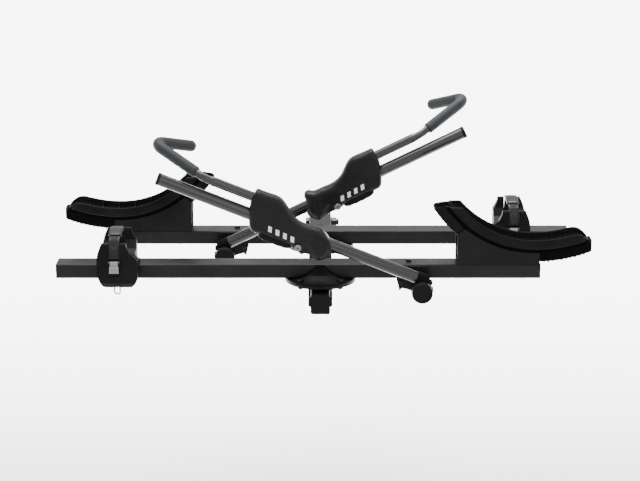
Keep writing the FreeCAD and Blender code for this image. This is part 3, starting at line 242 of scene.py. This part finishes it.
# ---------------------------------------------------------------- helpers for pieces
def add_piece(name, verts, faces, slot, body, stands_for=(), smooth=True, sharp=40.0):
    """A new mesh piece in the row frame, with its finish, its CAD body and the nodes it replaces."""
    mesh = bpy.data.meshes.new(name)
    mesh.from_pydata([tuple(v) for v in verts], [], faces)
    mesh.validate()
    tidy = bmesh.new()
    tidy.from_mesh(mesh)
    bmesh.ops.remove_doubles(tidy, verts=tidy.verts, dist=1e-5)
    bmesh.ops.recalc_face_normals(tidy, faces=tidy.faces)
    tidy.to_mesh(mesh)
    tidy.free()
    piece = bpy.data.objects.new(name, mesh)
    bpy.context.scene.collection.objects.link(piece)
    mesh.materials.append(MATERIALS[slot])
    for face in mesh.polygons:
        face.use_smooth = smooth
    if smooth:
        mesh.set_sharp_from_angle(angle=math.radians(sharp))
    if stands_for:
        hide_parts(*stands_for)
    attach(piece, body)
    return piece


def loft(rings):
    """A closed skin over rings of equal length, with a flat cap on both ends."""
    verts = [point for ring in rings for point in ring]
    size = len(rings[0])
    faces = []
    for i in range(len(rings) - 1):
        for k in range(size):
            m = (k + 1) % size
            faces.append((i * size + k, i * size + m, (i + 1) * size + m, (i + 1) * size + k))
    faces.append(tuple(range(size)))
    faces.append(tuple((len(rings) - 1) * size + k for k in reversed(range(size))))
    return verts, faces


def box_faces(base):
    """The six faces of a box whose lower and upper four corners start at vertex base."""
    sides = ((0, 1, 2, 3), (7, 6, 5, 4), (0, 4, 5, 1), (1, 5, 6, 2), (2, 6, 7, 3), (3, 7, 4, 0))
    return [tuple(base + corner for corner in side) for side in sides]


def bevel(piece, width, segments, angle=30.0):
    step = piece.modifiers.new("bevel", "BEVEL")
    step.width = width
    step.segments = segments
    step.limit_method = "ANGLE"
    step.angle_limit = math.radians(angle)
    step.harden_normals = False


def soften(node, width, segments, angle=30.0):
    """Rounded edges and smooth shading on a CAD node that keeps its shape."""
    piece = NODES[node]
    for face in piece.data.polygons:
        face.use_smooth = True
    bevel(piece, width, segments, angle)
    tidy = piece.modifiers.new("normals", "WEIGHTED_NORMAL")
    tidy.keep_sharp = True


def rounded_route(points, radii, step):
    """Points along straight runs joined by arcs, no further apart than step."""
    points = [Vector(p) for p in points]
    route = [points[0]]
    for i in range(1, len(points) - 1):
        back = (points[i - 1] - points[i]).normalized()
        ahead = (points[i + 1] - points[i]).normalized()
        half = back.angle(ahead) / 2.0
        reach = radii[i - 1] / math.tan(half)
        centre = points[i] + (back + ahead).normalized() * (radii[i - 1] / math.sin(half))
        start = points[i] + back * reach - centre
        turn = math.pi - 2.0 * half
        axis = start.cross(points[i] + ahead * reach - centre).normalized()
        count = max(4, int(radii[i - 1] * turn / step))
        for k in range(count + 1):
            route.append(centre + Matrix.Rotation(turn * k / count, 3, axis) @ start)
    route.append(points[-1])
    dense = [route[0]]
    for point in route[1:]:
        gap = (point - dense[-1]).length
        pieces = max(1, int(gap / step))
        first = dense[-1]
        for k in range(1, pieces + 1):
            dense.append(first.lerp(point, k / pieces))
    return dense


def heading(route, i):
    """The direction of a route at one of its points."""
    ahead = route[min(i + 1, len(route) - 1)] - route[max(i - 1, 0)]
    return ahead.normalized()


def run_lengths(route):
    """The length of the route up to each of its points."""
    lengths = [0.0]
    for a, b in zip(route, route[1:]):
        lengths.append(lengths[-1] + (b - a).length)
    return lengths


def swept(route, radii, sides, round_end=False):
    """Rings of a round bar along a route, its radius given at every point."""
    rings = []
    side = (route[1] - route[0]).normalized().cross(Vector((0, 0, 1))).normalized()
    for i, point in enumerate(route):
        ahead = heading(route, i)
        side = (side - ahead * side.dot(ahead)).normalized()
        across = ahead.cross(side).normalized()
        ring = []
        for k in range(sides):
            angle = 2.0 * math.pi * k / sides
            ring.append(point + (side * math.cos(angle) + across * math.sin(angle)) * radii[i])
        rings.append(ring)
    if round_end:
        last = rings[-1]
        tip = route[-1]
        out = (route[-1] - route[-2]).normalized()
        for k in range(1, 7):
            angle = math.pi / 2 * k / 6.0
            shrink = max(0.02, math.cos(angle))
            centre = tip + out * radii[-1] * math.sin(angle)
            rings.append([centre + (p - tip) * shrink for p in last])
    return rings


# ---------------------------------------------------------------- where things are
BAR_BOX = {which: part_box(which + "_bar") for which in SIDES}


def bar_centre(which):
    low, high = BAR_BOX[which]
    return (low[1] + high[1]) / 2.0, (low[2] + high[2]) / 2.0


JOINTS = {joint["name"]: joint for joint in frame["record"]["behaviour"]["joints"]}
ARM_ANGLE = {"near": math.radians(21.7), "far": math.radians(26.0)}
TUBE_OFFSET = 25.0
HOUSING_SHIFT = 9.6


def arm_point(which, u, v, y=0.0):
    """A point of an arm: u up the tube and v above its axis, y along Y, in mm."""
    side = SIDES[which]
    pivot = JOINTS[which + "_arm_swing"]["pos_m"]
    angle = ARM_ANGLE[which]
    u = u + HOUSING_SHIFT
    v = v + TUBE_OFFSET
    x = pivot[0] - side * (u * math.cos(angle) - v * math.sin(angle)) * MM
    z = pivot[2] + (u * math.sin(angle) + v * math.cos(angle)) * MM
    return Vector((x, pivot[1] + y * MM, z))


# ---------------------------------------------------------------- wheel trays
TRAY_X = 565.0           # the tray's lowest point from the middle of the rack, in mm
# The two arcs: height of the centre above the bar's centre, and the lips' radius.
TALL = (342.0, 254.0)
FLAT = (442.0, 354.0)
BAND_DEPTH = 36.0        # the band is above this depth below the lip, and the keel is under it
# Half of the channel's section: half width, depth below the lip, and 1 for the inside.
SECTION = [
    (0.0, 60.0, 1), (16.0, 60.0, 1), (21.0, 58.6, 1), (23.2, 55.0, 1), (23.6, 31.0, 1),
    (24.6, 27.4, 1), (28.4, 24.6, 1), (33.4, 22.6, 1), (36.4, 19.5, 1), (37.6, 13.0, 1),
    (37.9, 4.0, 1), (38.3, 1.4, 1), (39.2, 0.2, 1), (40.4, 0.0, 0), (41.3, 0.7, 0),
    (41.9, 2.4, 0), (42.0, 8.0, 0), (42.0, 21.6, 0), (41.4, 23.8, 0), (39.6, 24.9, 0),
    (33.4, 25.2, 0), (31.0, 26.4, 0), (30.2, 29.0, 0), (30.0, 34.0, 0), (30.6, 35.6, 0),
    (30.0, 36.1, 0), (28.2, 36.4, 0), (27.5, 38.0, 0), (27.4, 56.0, 0), (26.2, 61.0, 0),
    (22.5, 63.4, 0), (16.0, 64.0, 0), (0.0, 64.0, 0),
]
# The low end: distance out of the band's and the keel's stations, and their widths' shares.
LOW_END = [
    (8, 8, 1, 1), (25, 25, 1, 1), (42, 42, 1, 1), (59, 59, 1, 1), (76, 76, 1, 1), (90, 90, 1, 1),
    (99, 99, 1, 1), (107, 107, 1, 1), (114, 114, 0.995, 1), (120, 121, 0.97, 1),
    (125.5, 127.5, 0.93, 1), (130.5, 134, 0.865, 1), (134.8, 139.5, 0.79, 1),
    (138.4, 144, 0.69, 1), (141.2, 147.5, 0.56, 1), (143.0, 150.0, 0.42, 0.95),
    (144.0, 151.4, 0.28, 0.82), (144.4, 152.0, 0.14, 0.5), (144.5, 152.2, 0.03, 0.04),
]
# The low end's rim: distance out and height above the bar's centre.
RIM = [(94.0, 200.0), (99.0, 102.6), (108.0, 103.2), (117.0, 102.8), (126.0, 99.5), (134.0, 94.5),
       (141.0, 88.0), (145.0, 82.5)]


def rim_height(out):
    """Height of the low end's rim above the bar's centre."""
    for (x0, z0), (x1, z1) in zip(RIM, RIM[1:]):
        if out <= x1:
            return z0 + (z1 - z0) * max(0.0, out - x0) / (x1 - x0)
    return RIM[-1][1]


def tray_end_angle(depth):
    """Where the tall end's cut, level and then falling, stops the section at a depth below the lip."""
    radius = TALL[1] + depth
    near, far = 0.5, 1.3
    for _ in range(40):
        angle = (near + far) / 2.0
        out = radius * math.sin(angle)
        top = 177.0 - max(0.0, out - 248.0) * 0.3 - max(0.0, out - 262.0) * 0.5
        if TALL[0] - radius * math.cos(angle) < top:
            near = angle
        else:
            far = angle
    return -near


def tray_place(which, angle, depth, y):
    """A point of the tray in the row frame: angle from the lowest point, positive outwards."""
    centre, radius = TALL if angle < 0 else FLAT
    out = (radius + depth) * math.sin(angle)
    up = centre - (radius + depth) * math.cos(angle)
    if out > RIM[0][0] and depth < BAND_DEPTH:
        floor = centre - math.sqrt((radius + BAND_DEPTH) ** 2 - out ** 2)
        lip = centre - math.sqrt(radius ** 2 - out ** 2)
        rim = max(floor + 1.0, min(lip, rim_height(out)))
        up = floor + (up - floor) * (rim - floor) / (lip - floor)
    bar_y, bar_z = bar_centre(which)
    return Vector((SIDES[which] * (TRAY_X + out) * MM, bar_y + y * MM, bar_z + up * MM))


def tray_stations(depth, inside):
    """Angles along the tray at a depth, from the tall end to the low end, with a width share."""
    start = tray_end_angle(depth)
    stations = []
    for share, width in ((0.0, 0.93), (0.006, 0.965), (0.02, 0.99), (0.05, 1.0), (0.10, 1.0)):
        stations.append((start * (1.0 - share), width))
    for k in range(1, 29):
        stations.append((start * 0.90 * (1.0 - k / 29.0), 1.0))
    radius = FLAT[1] + depth
    for band, keel, band_width, keel_width in LOW_END:
        out, width = (band, band_width) if depth < BAND_DEPTH else (keel, keel_width)
        if inside:
            out -= 3.6 * min(1.0, max(0.0, (out - 110.0) / 30.0)) ** 2
        stations.append((math.asin(out / radius), width))
    return stations


def make_tray(which):
    profile = SECTION + [(-y, d, inside) for y, d, inside in reversed(SECTION[1:-1])]
    by_depth = {}
    for _, depth, inside in profile:
        by_depth[depth, inside] = tray_stations(depth, inside)
    count = len(by_depth[0.0, 0])
    rings = []
    for i in range(count):
        ring = []
        for y, depth, inside in profile:
            angle, width = by_depth[depth, inside][i]
            ring.append(tray_place(which, angle, depth, y * width))
        rings.append(ring)
    verts, faces = loft(rings)
    body = "spine"
    channel = add_piece(which + "_tray_channel", verts, faces, "tray_plastic", body,
                        (which + "_wheel_tray",), sharp=50.0)
    # The undercut and the keel get a duller, darker copy of the tray plastic: painted shade under the band's
    # overhang.
    channel.data.materials.append(MATERIALS["tray_painted_shade"])
    bar_y, bar_z = bar_centre(which)
    for face in channel.data.polygons:
        out = SIDES[which] * face.center.x / MM - TRAY_X
        centre, radius = TALL if out < 0 else FLAT
        fall = centre - (face.center.z - bar_z) / MM
        across = face.center.y - bar_y
        reach = math.hypot(out, fall)
        along = (SIDES[which] * face.normal.x * out - face.normal.z * fall) / reach
        outward = face.normal.y * across > 0 or along > 0.3
        depth = reach - radius
        if depth > 24.4 and outward and (out > -190.0 or depth < 36.8):
            face.material_index = 1

    make_tray_ribs(which, body)
    make_tray_teeth(which, body)


# Half of a rib's outline: half width and depth below the lip.
RIB = [
    (38.2, 4.5), (35.2, 7.5), (34.2, 12.0), (32.6, 16.6), (28.4, 20.2), (22.6, 23.2),
    (20.6, 27.4), (20.2, 53.6), (17.0, 57.2), (0.0, 57.7), (0.0, 60.6), (16.2, 60.6),
    (21.6, 59.0), (23.8, 55.2), (24.0, 31.4), (25.0, 27.8), (28.7, 25.0), (33.7, 23.0),
    (36.8, 19.8),
]
RIB_PLACES = (-170.0, -128.0, -84.0, -38.0, 8.0, 54.0, 90.0)
RIB_HALF = 1.3


def make_tray_ribs(which, body):
    """The cross ribs inside the channel."""
    verts = []
    faces = []
    n = len(RIB)
    for out in RIB_PLACES:
        for mirror in (1.0, -1.0):
            base = len(verts)
            for edge in (-RIB_HALF, RIB_HALF):
                for y, depth in RIB:
                    radius = (TALL if out < 0 else FLAT)[1] + depth
                    angle = math.asin(out / radius) + edge / radius
                    if (angle < 0) != (out < 0):
                        angle = math.copysign(1e-6, out)
                    verts.append(tray_place(which, angle, depth, y * mirror))
            faces.append(tuple(base + k for k in range(n)))
            faces.append(tuple(base + n + k for k in reversed(range(n))))
            for k in range(n):
                m = (k + 1) % n
                faces.append((base + k, base + m, base + n + m, base + n + k))
    add_piece(which + "_tray_ribs", verts, faces, "tray_plastic", body, smooth=False)


TEETH = 10
TOOTH_HALF = 2.2
KEEL_FLOOR = 64.0        # the keel's underside, below the lip


def make_tray_teeth(which, body):
    """The small teeth under the keel; every third one is taller."""
    verts = []
    faces = []
    for k in range(TEETH):
        out = 28.0 + 11.6 * k
        height = 3.4 if k % 3 == 1 else 2.2
        faces.extend(box_faces(len(verts)))
        for edge in (-TOOTH_HALF, TOOTH_HALF):
            for y, depth in ((-22.0, KEEL_FLOOR - 1.5), (22.0, KEEL_FLOOR - 1.5),
                             (19.0, KEEL_FLOOR + height), (-19.0, KEEL_FLOOR + height)):
                radius = FLAT[1] + depth
                verts.append(tray_place(which, math.asin(out / radius) + edge / radius, depth, y))
    teeth = add_piece(which + "_tray_teeth", verts, faces, "tray_plastic", body, smooth=False)
    # the teeth take the same painted shade as the keel above them
    teeth.data.materials[0] = MATERIALS["tray_painted_shade"]
    bevel(teeth, 0.0006, 2)


# ---------------------------------------------------------------- ratchet housings
OUTLINES = {
    "near": [
        (491, 68), (495, 51), (496, 36), (493, 20), (489, 6), (485, -6), (480, -18), (475, -28),
        (468, -35.5), (458, -38), (440, -38), (400, -38), (358, -38), (348, -41), (338, -43),
        (322, -41.5), (308, -42), (296, -43.5), (284, -47), (275, -47), (267, -43.5),
        (258, -34), (252.5, -26), (251, -18), (252.5, -8), (256, -1), (261, 6), (269, 15),
        (277, 21), (286, 26), (300, 29), (320, 29), (345, 28), (360, 30), (376, 36), (388, 44),
        (399, 53), (410, 62), (424, 69), (440, 71), (458, 70), (478, 69.5),
    ],
    "far": [
        (491, 68), (495, 51), (496, 36), (493, 20), (489, 6), (485, -6), (480, -18), (475, -28),
        (468, -35.5), (458, -38), (440, -38), (400, -38), (358, -38), (348, -41), (338, -43),
        (322, -41.5), (308, -42), (296, -43.5), (284, -47), (275, -47), (267, -43.5),
        (258, -34), (252.5, -26), (251, -18), (252.5, -8), (256, -1), (261, 6), (264.5, 14),
        (264.5, 22), (264.5, 30), (267.5, 36.5), (275, 39), (283, 37.5), (288, 33),
        (295, 30), (306, 29), (320, 29), (345, 28), (360, 30), (376, 36), (388, 44), (399, 53),
        (410, 62), (424, 69), (440, 71), (458, 70), (478, 69.5),
    ],
}


def smooth_loop(points, step):
    """A closed Catmull-Rom curve through the points, sampled about every step."""
    loop = []
    count = len(points)
    for i in range(count):
        p0, p1, p2, p3 = (Vector(points[(i + k - 1) % count]) for k in range(4))
        pieces = max(1, int((p2 - p1).length / step))
        for k in range(pieces):
            t = k / pieces
            loop.append(0.5 * ((2 * p1) + (p2 - p0) * t + (2 * p0 - 5 * p1 + 4 * p2 - p3) * t * t
                               + (3 * p1 - p0 - 3 * p2 + p3) * t ** 3))
    return loop


def distance_tree(loop):
    """A search tree of closely spaced points along a closed outline."""
    spots = []
    for i in range(len(loop)):
        steps = max(1, int((loop[i] - loop[i - 1]).length / 0.4))
        for k in range(steps):
            spots.append(loop[i - 1].lerp(loop[i], k / steps))
    tree = KDTree(len(spots))
    for i, spot in enumerate(spots):
        tree.insert((spot.x, spot.y, 0.0), i)
    tree.balance()
    return tree


def edge_distance(point, tree):
    """How far a point is from the outline that the tree holds."""
    return tree.find((point[0], point[1], 0.0))[2]


def segment_distance(point, a, b):
    """How far a point is from the segment between a and b."""
    a = Vector(a)
    b = Vector(b)
    span = b - a
    share = max(0.0, min(1.0, (point - a).dot(span) / span.dot(span)))
    return (point - a - span * share).length


def bump_at(distance, width):
    """1 on a feature's centre line, falling smoothly to 0 at the given width."""
    if distance >= width:
        return 0.0
    return 0.5 + 0.5 * math.cos(math.pi * distance / width)


SCREWS = ((437.0, 39.0), (408.0, 24.0))
LOCK = (338.0, -33.0)
HOUSING_FRONT = 28.3     # how far the shells reach ahead of and behind the arm's plane, in mm
HOUSING_BACK = 21.3
GRID = 3.6               # spacing of the points inside the outline


def dome(distance, depth, edge_share, radius):
    """Height of a face that rises from a share of its depth at the edge, over a radius."""
    share = min(1.0, distance / radius)
    return depth * (edge_share + (1.0 - edge_share) * math.sqrt(max(0.0, 1.0 - (1.0 - share) ** 2)))


def within(point, loop):
    """Whether a point is inside a closed outline."""
    odd = False
    for a, b in zip([loop[-1]] + loop[:-1], loop):
        if (a.y > point.y) != (b.y > point.y):
            if point.x < (b.x - a.x) * (point.y - a.y) / (b.y - a.y) + a.x:
                odd = not odd
    return odd


def grid_inside(loop, tree):
    """A triangular grid of points inside the outline, clear of its edge."""
    low_u = min(p.x for p in loop)
    high_u = max(p.x for p in loop)
    high_v = max(p.y for p in loop)
    kept = []
    row = 0
    v = min(p.y for p in loop)
    while v < high_v:
        u = low_u + (GRID / 2 if row % 2 else 0.0)
        while u < high_u:
            point = Vector((u, v))
            if within(point, loop) and edge_distance(point, tree) > 1.6:
                kept.append(point)
            u += GRID
        v += GRID * 0.866
        row += 1
    return kept


def housing_relief(point):
    """How far the front face stands out (+) or is hollowed (-), in mm."""
    relief = 0.0
    ridge = segment_distance(point, (292, 4), (277, -46))
    relief += 3.2 * bump_at(ridge, 13.0)
    shelf = segment_distance(point, (300, 12), (352, 6))
    relief += 1.6 * bump_at(shelf, 20.0)
    hollow = segment_distance(point, (318, -26), (304, -34))
    relief -= 4.6 * bump_at(hollow, 17.0)
    collar = segment_distance(point, (254, -8), (262, -34))
    relief -= 3.4 * bump_at(collar, 12.0)
    crown = segment_distance(point, (420, 30), (470, 20))
    relief += 1.2 * bump_at(crown, 34.0)
    for spot in SCREWS:
        relief -= 2.8 * bump_at((point - Vector(spot)).length, 6.5)
    relief -= 1.5 * bump_at((point - Vector(LOCK)).length, 12.5)
    lower = segment_distance(point, (356, -34), (446, -34))
    relief -= 2.2 * bump_at(lower, 9.0)
    return relief


def make_housing(which):
    loop = smooth_loop(OUTLINES[which], 4.0)
    tree = distance_tree(loop)
    count = len(loop)
    body = which + "_ratchet"
    edges = [(i, (i + 1) % count) for i in range(count)]
    flat, _, triangles, *_ = delaunay_2d_cdt(loop + grid_inside(loop, tree), edges, [], 1, 1e-4)

    def front_height(point):
        spot = Vector((point[0], point[1]))
        distance = edge_distance(spot, tree)
        stand = dome(distance, HOUSING_FRONT - 3.2, 0.50, 15.0)
        stand += housing_relief(spot) * min(1.0, distance / 6.0)
        return min(HOUSING_FRONT, stand)

    def rear_height(point):
        return dome(edge_distance(point, tree), HOUSING_BACK, 0.58, 12.0)

    nearest = KDTree(len(flat))
    for i, p in enumerate(flat):
        nearest.insert((p[0], p[1], 0.0), i)
    nearest.balance()
    rim = [nearest.find((spot.x, spot.y, 0.0))[1] for spot in loop]

    inset = []
    for i in range(count):
        tangent = loop[(i + 1) % count] - loop[i - 1]
        tangent.normalize()
        inset.append(Vector((-tangent.y, tangent.x)))
    centroid = sum((Vector(p) for p in loop), Vector((0.0, 0.0))) / count
    flip = 1.0 if inset[0].dot(centroid - loop[0]) > 0 else -1.0

    def shell(name, height, sign, node):
        """One half shell with its wall down to a small groove at the parting line."""
        verts = [arm_point(which, p[0], p[1], sign * height(p)) for p in flat]
        faces = [tuple(t) for t in triangles]
        previous = rim
        for pull, y in ((0.0, 0.9), (1.1, 0.35)):
            current = []
            for i in range(count):
                spot = loop[i] + inset[i] * flip * pull
                verts.append(arm_point(which, spot.x, spot.y, sign * y))
                current.append(len(verts) - 1)
            for i in range(count):
                j = (i + 1) % count
                faces.append((previous[i], previous[j], current[j], current[i]))
            previous = current
        add_piece(name, verts, faces, "housing_plastic", body, (node,), sharp=55.0)

    shell(which + "_housing_shell_front", front_height, -1.0, which + "_housing_front")
    shell(which + "_housing_shell_rear", rear_height, 1.0, which + "_housing_rear")
    make_screw_heads(which, body, front_height)
    make_pale_bars(which, body, front_height)


def make_screw_heads(which, body, front_height):
    """Round screw heads in their recesses, each with a round socket."""
    verts = []
    faces = []
    for u, v in SCREWS:
        top = -(front_height((u, v)) + 1.0)
        rings = []
        for radius, y in ((3.4, top + 1.6), (3.4, top + 0.5), (2.9, top), (1.7, top - 0.1),
                          (1.4, top + 0.8)):
            ring = []
            for k in range(24):
                angle = 2.0 * math.pi * k / 24
                ring.append(arm_point(which, u + radius * math.cos(angle),
                                      v + radius * math.sin(angle), y))
            rings.append(ring)
        base = len(verts)
        head_verts, head_faces = loft(rings)
        verts.extend(head_verts)
        faces.extend(tuple(base + i for i in face) for face in head_faces)
    add_piece(which + "_housing_screw_heads", verts, faces, "dark_zinc", body,
              (which + "_housing_screws",), sharp=30.0)


PALE_BARS = 4


def make_pale_bars(which, body, front_height):
    """Plain pale bars, each following the face, in place of any wording."""
    verts = []
    faces = []
    start = Vector((349.0, -17.0))
    run = Vector((434.0, -11.5)) - start
    for k in range(PALE_BARS):
        centre = start + run * (k + 0.5) / PALE_BARS
        faces.extend(box_faces(len(verts)))
        for level in (-0.5, 0.45):
            for du, dv in ((-7.4, -7.2), (2.6, -7.2), (7.4, 7.2), (-2.6, 7.2)):
                u = centre.x + du
                v = centre.y + dv
                verts.append(arm_point(which, u, v, -(front_height((u, v)) + level)))
    add_piece(which + "_pale_bars", verts, faces, "pale_inlay", body, smooth=False)


TRIGGER_START = 352.5
TRIGGER_LENGTH = 94.5
TRIGGER_LINE = -38.0     # the housing's lower edge, which the lever hangs from


def make_trigger(which):
    """The squeeze bar: a bowed, rounded lever with finger grooves along its underside."""
    rings = []
    stations = 34
    for i in range(stations + 1):
        share = i / stations
        u = TRIGGER_START + TRIGGER_LENGTH * share
        bow = 3.2 * math.sin(math.pi * share)
        swell = math.sqrt(max(0.0, 1.0 - (2.0 * share - 1.0) ** 8))
        groove = 0.9 * math.sin(share * math.pi * 5.0) ** 2
        low = TRIGGER_LINE - (9.5 * swell + bow * 0.9) + groove
        high = TRIGGER_LINE + 9.0 * swell
        half = 3.0 + 16.5 * swell
        ring = []
        for k in range(20):
            angle = 2.0 * math.pi * k / 20
            c = math.cos(angle)
            s = math.sin(angle)
            y = math.copysign(abs(c) ** 0.55, c) * half - 3.0
            rise = math.copysign(abs(s) ** 0.55, s)
            ring.append(arm_point(which, u, (high + low) / 2.0 + rise * (high - low) / 2.0, y))
        rings.append(ring)
    verts, faces = loft(rings)
    add_piece(which + "_trigger_bar", verts, faces, "black_plastic", which + "_trigger_lever",
              (which + "_trigger",), sharp=70.0)


# ---------------------------------------------------------------- hooks
ROD_V = 46.9             # the hook rod's axis above the arm tube's, in mm
# The rod's corners, as u, y and v of the arm.
HOOK_CORNERS = [(446.0, 0.0, ROD_V), (629.0, 0.0, ROD_V), (792.4, 84.0, ROD_V + 19.4),
                (689.0, 164.0, ROD_V + 26.2)]
NECK_FROM = 0.160        # along the rod, in m: the neck, its length, and where the rubber starts
NECK_LENGTH = 0.010
RUBBER_FROM = 0.208


def make_hook(which):
    body = which + "_ratchet"
    points = [arm_point(which, u, v, y) for u, y, v in HOOK_CORNERS]
    route = rounded_route(points, [60.0 * MM, 26.0 * MM], 3.0 * MM)
    lengths = run_lengths(route)
    radii = []
    for run in lengths:
        if run < NECK_FROM:
            radii.append(12.5 * MM)
        elif run < NECK_FROM + NECK_LENGTH:
            radii.append((12.5 - 2.1 * (run - NECK_FROM) / NECK_LENGTH) * MM)
        else:
            radii.append(10.4 * MM)
    inner_end = max(i for i, run in enumerate(lengths) if run < lengths[-1] - 0.006)
    verts, faces = loft(swept(route[:inner_end], radii[:inner_end], 32))
    add_piece(which + "_hook_bar", verts, faces, "tube_paint", body, (which + "_hook_rod",), sharp=30.0)

    first = min(i for i, run in enumerate(lengths) if run > RUBBER_FROM)
    radii = []
    for run in lengths[first:]:
        from_start = run - lengths[first]
        radius = 15.2 * MM
        if from_start < 0.004:
            radius = (13.2 + 2.0 * math.sqrt(from_start / 0.004)) * MM
        for groove in (0.010, 0.014):
            if abs(from_start - groove) < 0.0012:
                radius -= 0.7 * MM
        radii.append(radius)
    verts, faces = loft(swept(route[first:], radii, 36, round_end=True))
    add_piece(which + "_hook_rubber", verts, faces, "grey_rubber", body,
              (which + "_hook_sleeve",), sharp=60.0)


# ---------------------------------------------------------------- straps
# The strap's corners, as distance along Y and height from the bar's centre, and their radii.
STRAP_CORNERS = [(-81.5, 50), (-81.5, 76), (-62, 99), (-10, 106), (40, 101), (66, 78), (66, 46)]
STRAP_RADII = [16.0, 22.0, 60.0, 22.0, 12.0]
PAD_FROM = -44.0
PAD_LENGTH = 78.0


def make_strap(which):
    bar_y, bar_z = bar_centre(which)
    low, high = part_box(which + "_wheel_strap")
    x = (low[0] + high[0]) / 2.0
    carriage = which + "_strap_carriage"
    route = rounded_route([(0.0, y, z) for y, z in STRAP_CORNERS], STRAP_RADII, 1.0)
    lengths = run_lengths(route)

    def ring_at(i, section):
        """The section, as points across the strap and outwards from it, at a point of the route."""
        ahead = heading(route, i)
        out = Vector((0.0, -ahead.z, ahead.y))
        ring = []
        for across, height in section:
            spot = route[i] + out * height
            ring.append(Vector((x + across * MM, bar_y + spot.y * MM, bar_z + spot.z * MM)))
        return ring

    rings = []
    for i, run in enumerate(lengths):
        tooth = 0.9 * (0.5 + 0.5 * math.cos(2.0 * math.pi * run / 3.2)) if 6.0 < run < 60.0 else 0.0
        rings.append(ring_at(i, [
            (-12.4, -1.9), (12.4, -1.9), (13.0, -1.3), (13.0, 1.0), (12.3, 1.7), (9.6, 1.7),
            (9.4, 1.0 + tooth), (-9.4, 1.0 + tooth), (-9.6, 1.7), (-12.3, 1.7), (-13.0, 1.0),
            (-13.0, -1.3),
        ]))
    verts, faces = loft(rings)
    add_piece(which + "_strap_band", verts, faces, "strap_plastic", carriage,
              (which + "_wheel_strap",), sharp=35.0)

    # A wider soft pad lies on the strap's crown.
    rings = []
    for i, point in enumerate(route):
        if not PAD_FROM < point.y < PAD_FROM + PAD_LENGTH or point.z < 92.0 or i % 2:
            continue
        reach = (point.y - PAD_FROM) / PAD_LENGTH
        ends = min(1.0, math.sqrt(max(0.0, 1.0 - (2.0 * reach - 1.0) ** 6)) + 0.02)
        wide = 17.5 * (0.80 + 0.20 * ends)
        tall = 2.0 + 5.0 * ends
        rib = 0.35 * math.cos(2.0 * math.pi * lengths[i] / 9.0)
        rings.append(ring_at(i, [
            (-wide, 0.4), (-wide, -1.0), (-13.3, -1.6), (-13.3, 1.6), (13.3, 1.6), (13.3, -1.6),
            (wide, -1.0), (wide, 0.4), (wide * 0.98, tall - 1.2),
            (wide * 0.90, tall - 0.2 + rib * 0.5), (wide * 0.5, tall + rib), (0.0, tall + 0.3 + rib),
            (-wide * 0.5, tall + rib), (-wide * 0.90, tall - 0.2 + rib * 0.5),
            (-wide * 0.98, tall - 1.2),
        ]))
    verts, faces = loft(rings)
    add_piece(which + "_strap_pad", verts, faces, "strap_plastic", carriage, sharp=60.0)


LOOP_X = -0.5335         # the wire loop's middle, half width, height and corner radius, in m
LOOP_HALF = 0.0072
LOOP_HEIGHT = 0.0175
LOOP_CORNER = 0.0065
WIRE_RADIUS = 0.0018


def make_wire_loop():
    """The bent wire that hangs under the near strap block, below the buckle."""
    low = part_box("near_strap_block")[0]
    y = low[1] + 0.009
    top = low[2] + 0.008
    corners = [(LOOP_X - LOOP_HALF, y, top), (LOOP_X - LOOP_HALF, y, top - LOOP_HEIGHT),
               (LOOP_X + LOOP_HALF, y, top - LOOP_HEIGHT), (LOOP_X + LOOP_HALF, y, top)]
    route = rounded_route(corners, [LOOP_CORNER, LOOP_CORNER], 0.001)
    rings = []
    for i, point in enumerate(route):
        ahead = heading(route, i)
        out = Vector((-ahead.z, 0.0, ahead.x))
        ring = []
        for k in range(12):
            angle = 2.0 * math.pi * k / 12
            ring.append(point + (out * math.cos(angle) + Vector((0, 1, 0)) * math.sin(angle)) * WIRE_RADIUS)
        rings.append(ring)
    verts, faces = loft(rings)
    add_piece("near_wire_loop", verts, faces, "hub_paint", "near_strap_carriage")


# ---------------------------------------------------------------- the whole rack
# CAD nodes that keep their shape: bevel width in m, segments and the least angle it rounds.
SOFT_ON_BOTH_SIDES = {
    "strap_block": (0.0022, 3, 30.0), "tray_bracket": (0.0009, 2, 30.0),
    "arm_bracket": (0.0010, 2, 30.0), "hub": (0.0009, 2, 35.0), "arm_knuckle": (0.0014, 3, 30.0),
    "pivot_cap": (0.0006, 2, 30.0), "lock_barrel": (0.0005, 2, 30.0),
    "buckle_base": (0.0006, 2, 30.0), "buckle_lever": (0.0008, 2, 30.0),
    "arm_tube": (0.0004, 2, 30.0), "tube_plug": (0.0006, 2, 30.0), "bar": (0.0004, 2, 50.0),
}
SOFT_SINGLE = {
    "release_handle": 0.0012, "spine_tube": 0.0006, "stinger_tube": 0.0006, "bar_end_caps": 0.0008,
    "cross_plates": 0.0006, "hub_bolts": 0.0005, "tilt_bolt": 0.0008, "tilt_nut": 0.0006,
    "arm_bracket_bolts": 0.0005, "tray_bolts": 0.0005, "index_hub": 0.0006,
}

make_wire_loop()
for which in SIDES:
    make_tray(which)
    make_housing(which)
    make_trigger(which)
    make_hook(which)
    make_strap(which)
    for node, (width, segments, angle) in SOFT_ON_BOTH_SIDES.items():
        soften(which + "_" + node, width, segments, angle)
for node, width in SOFT_SINGLE.items():
    soften(node, width, 2)
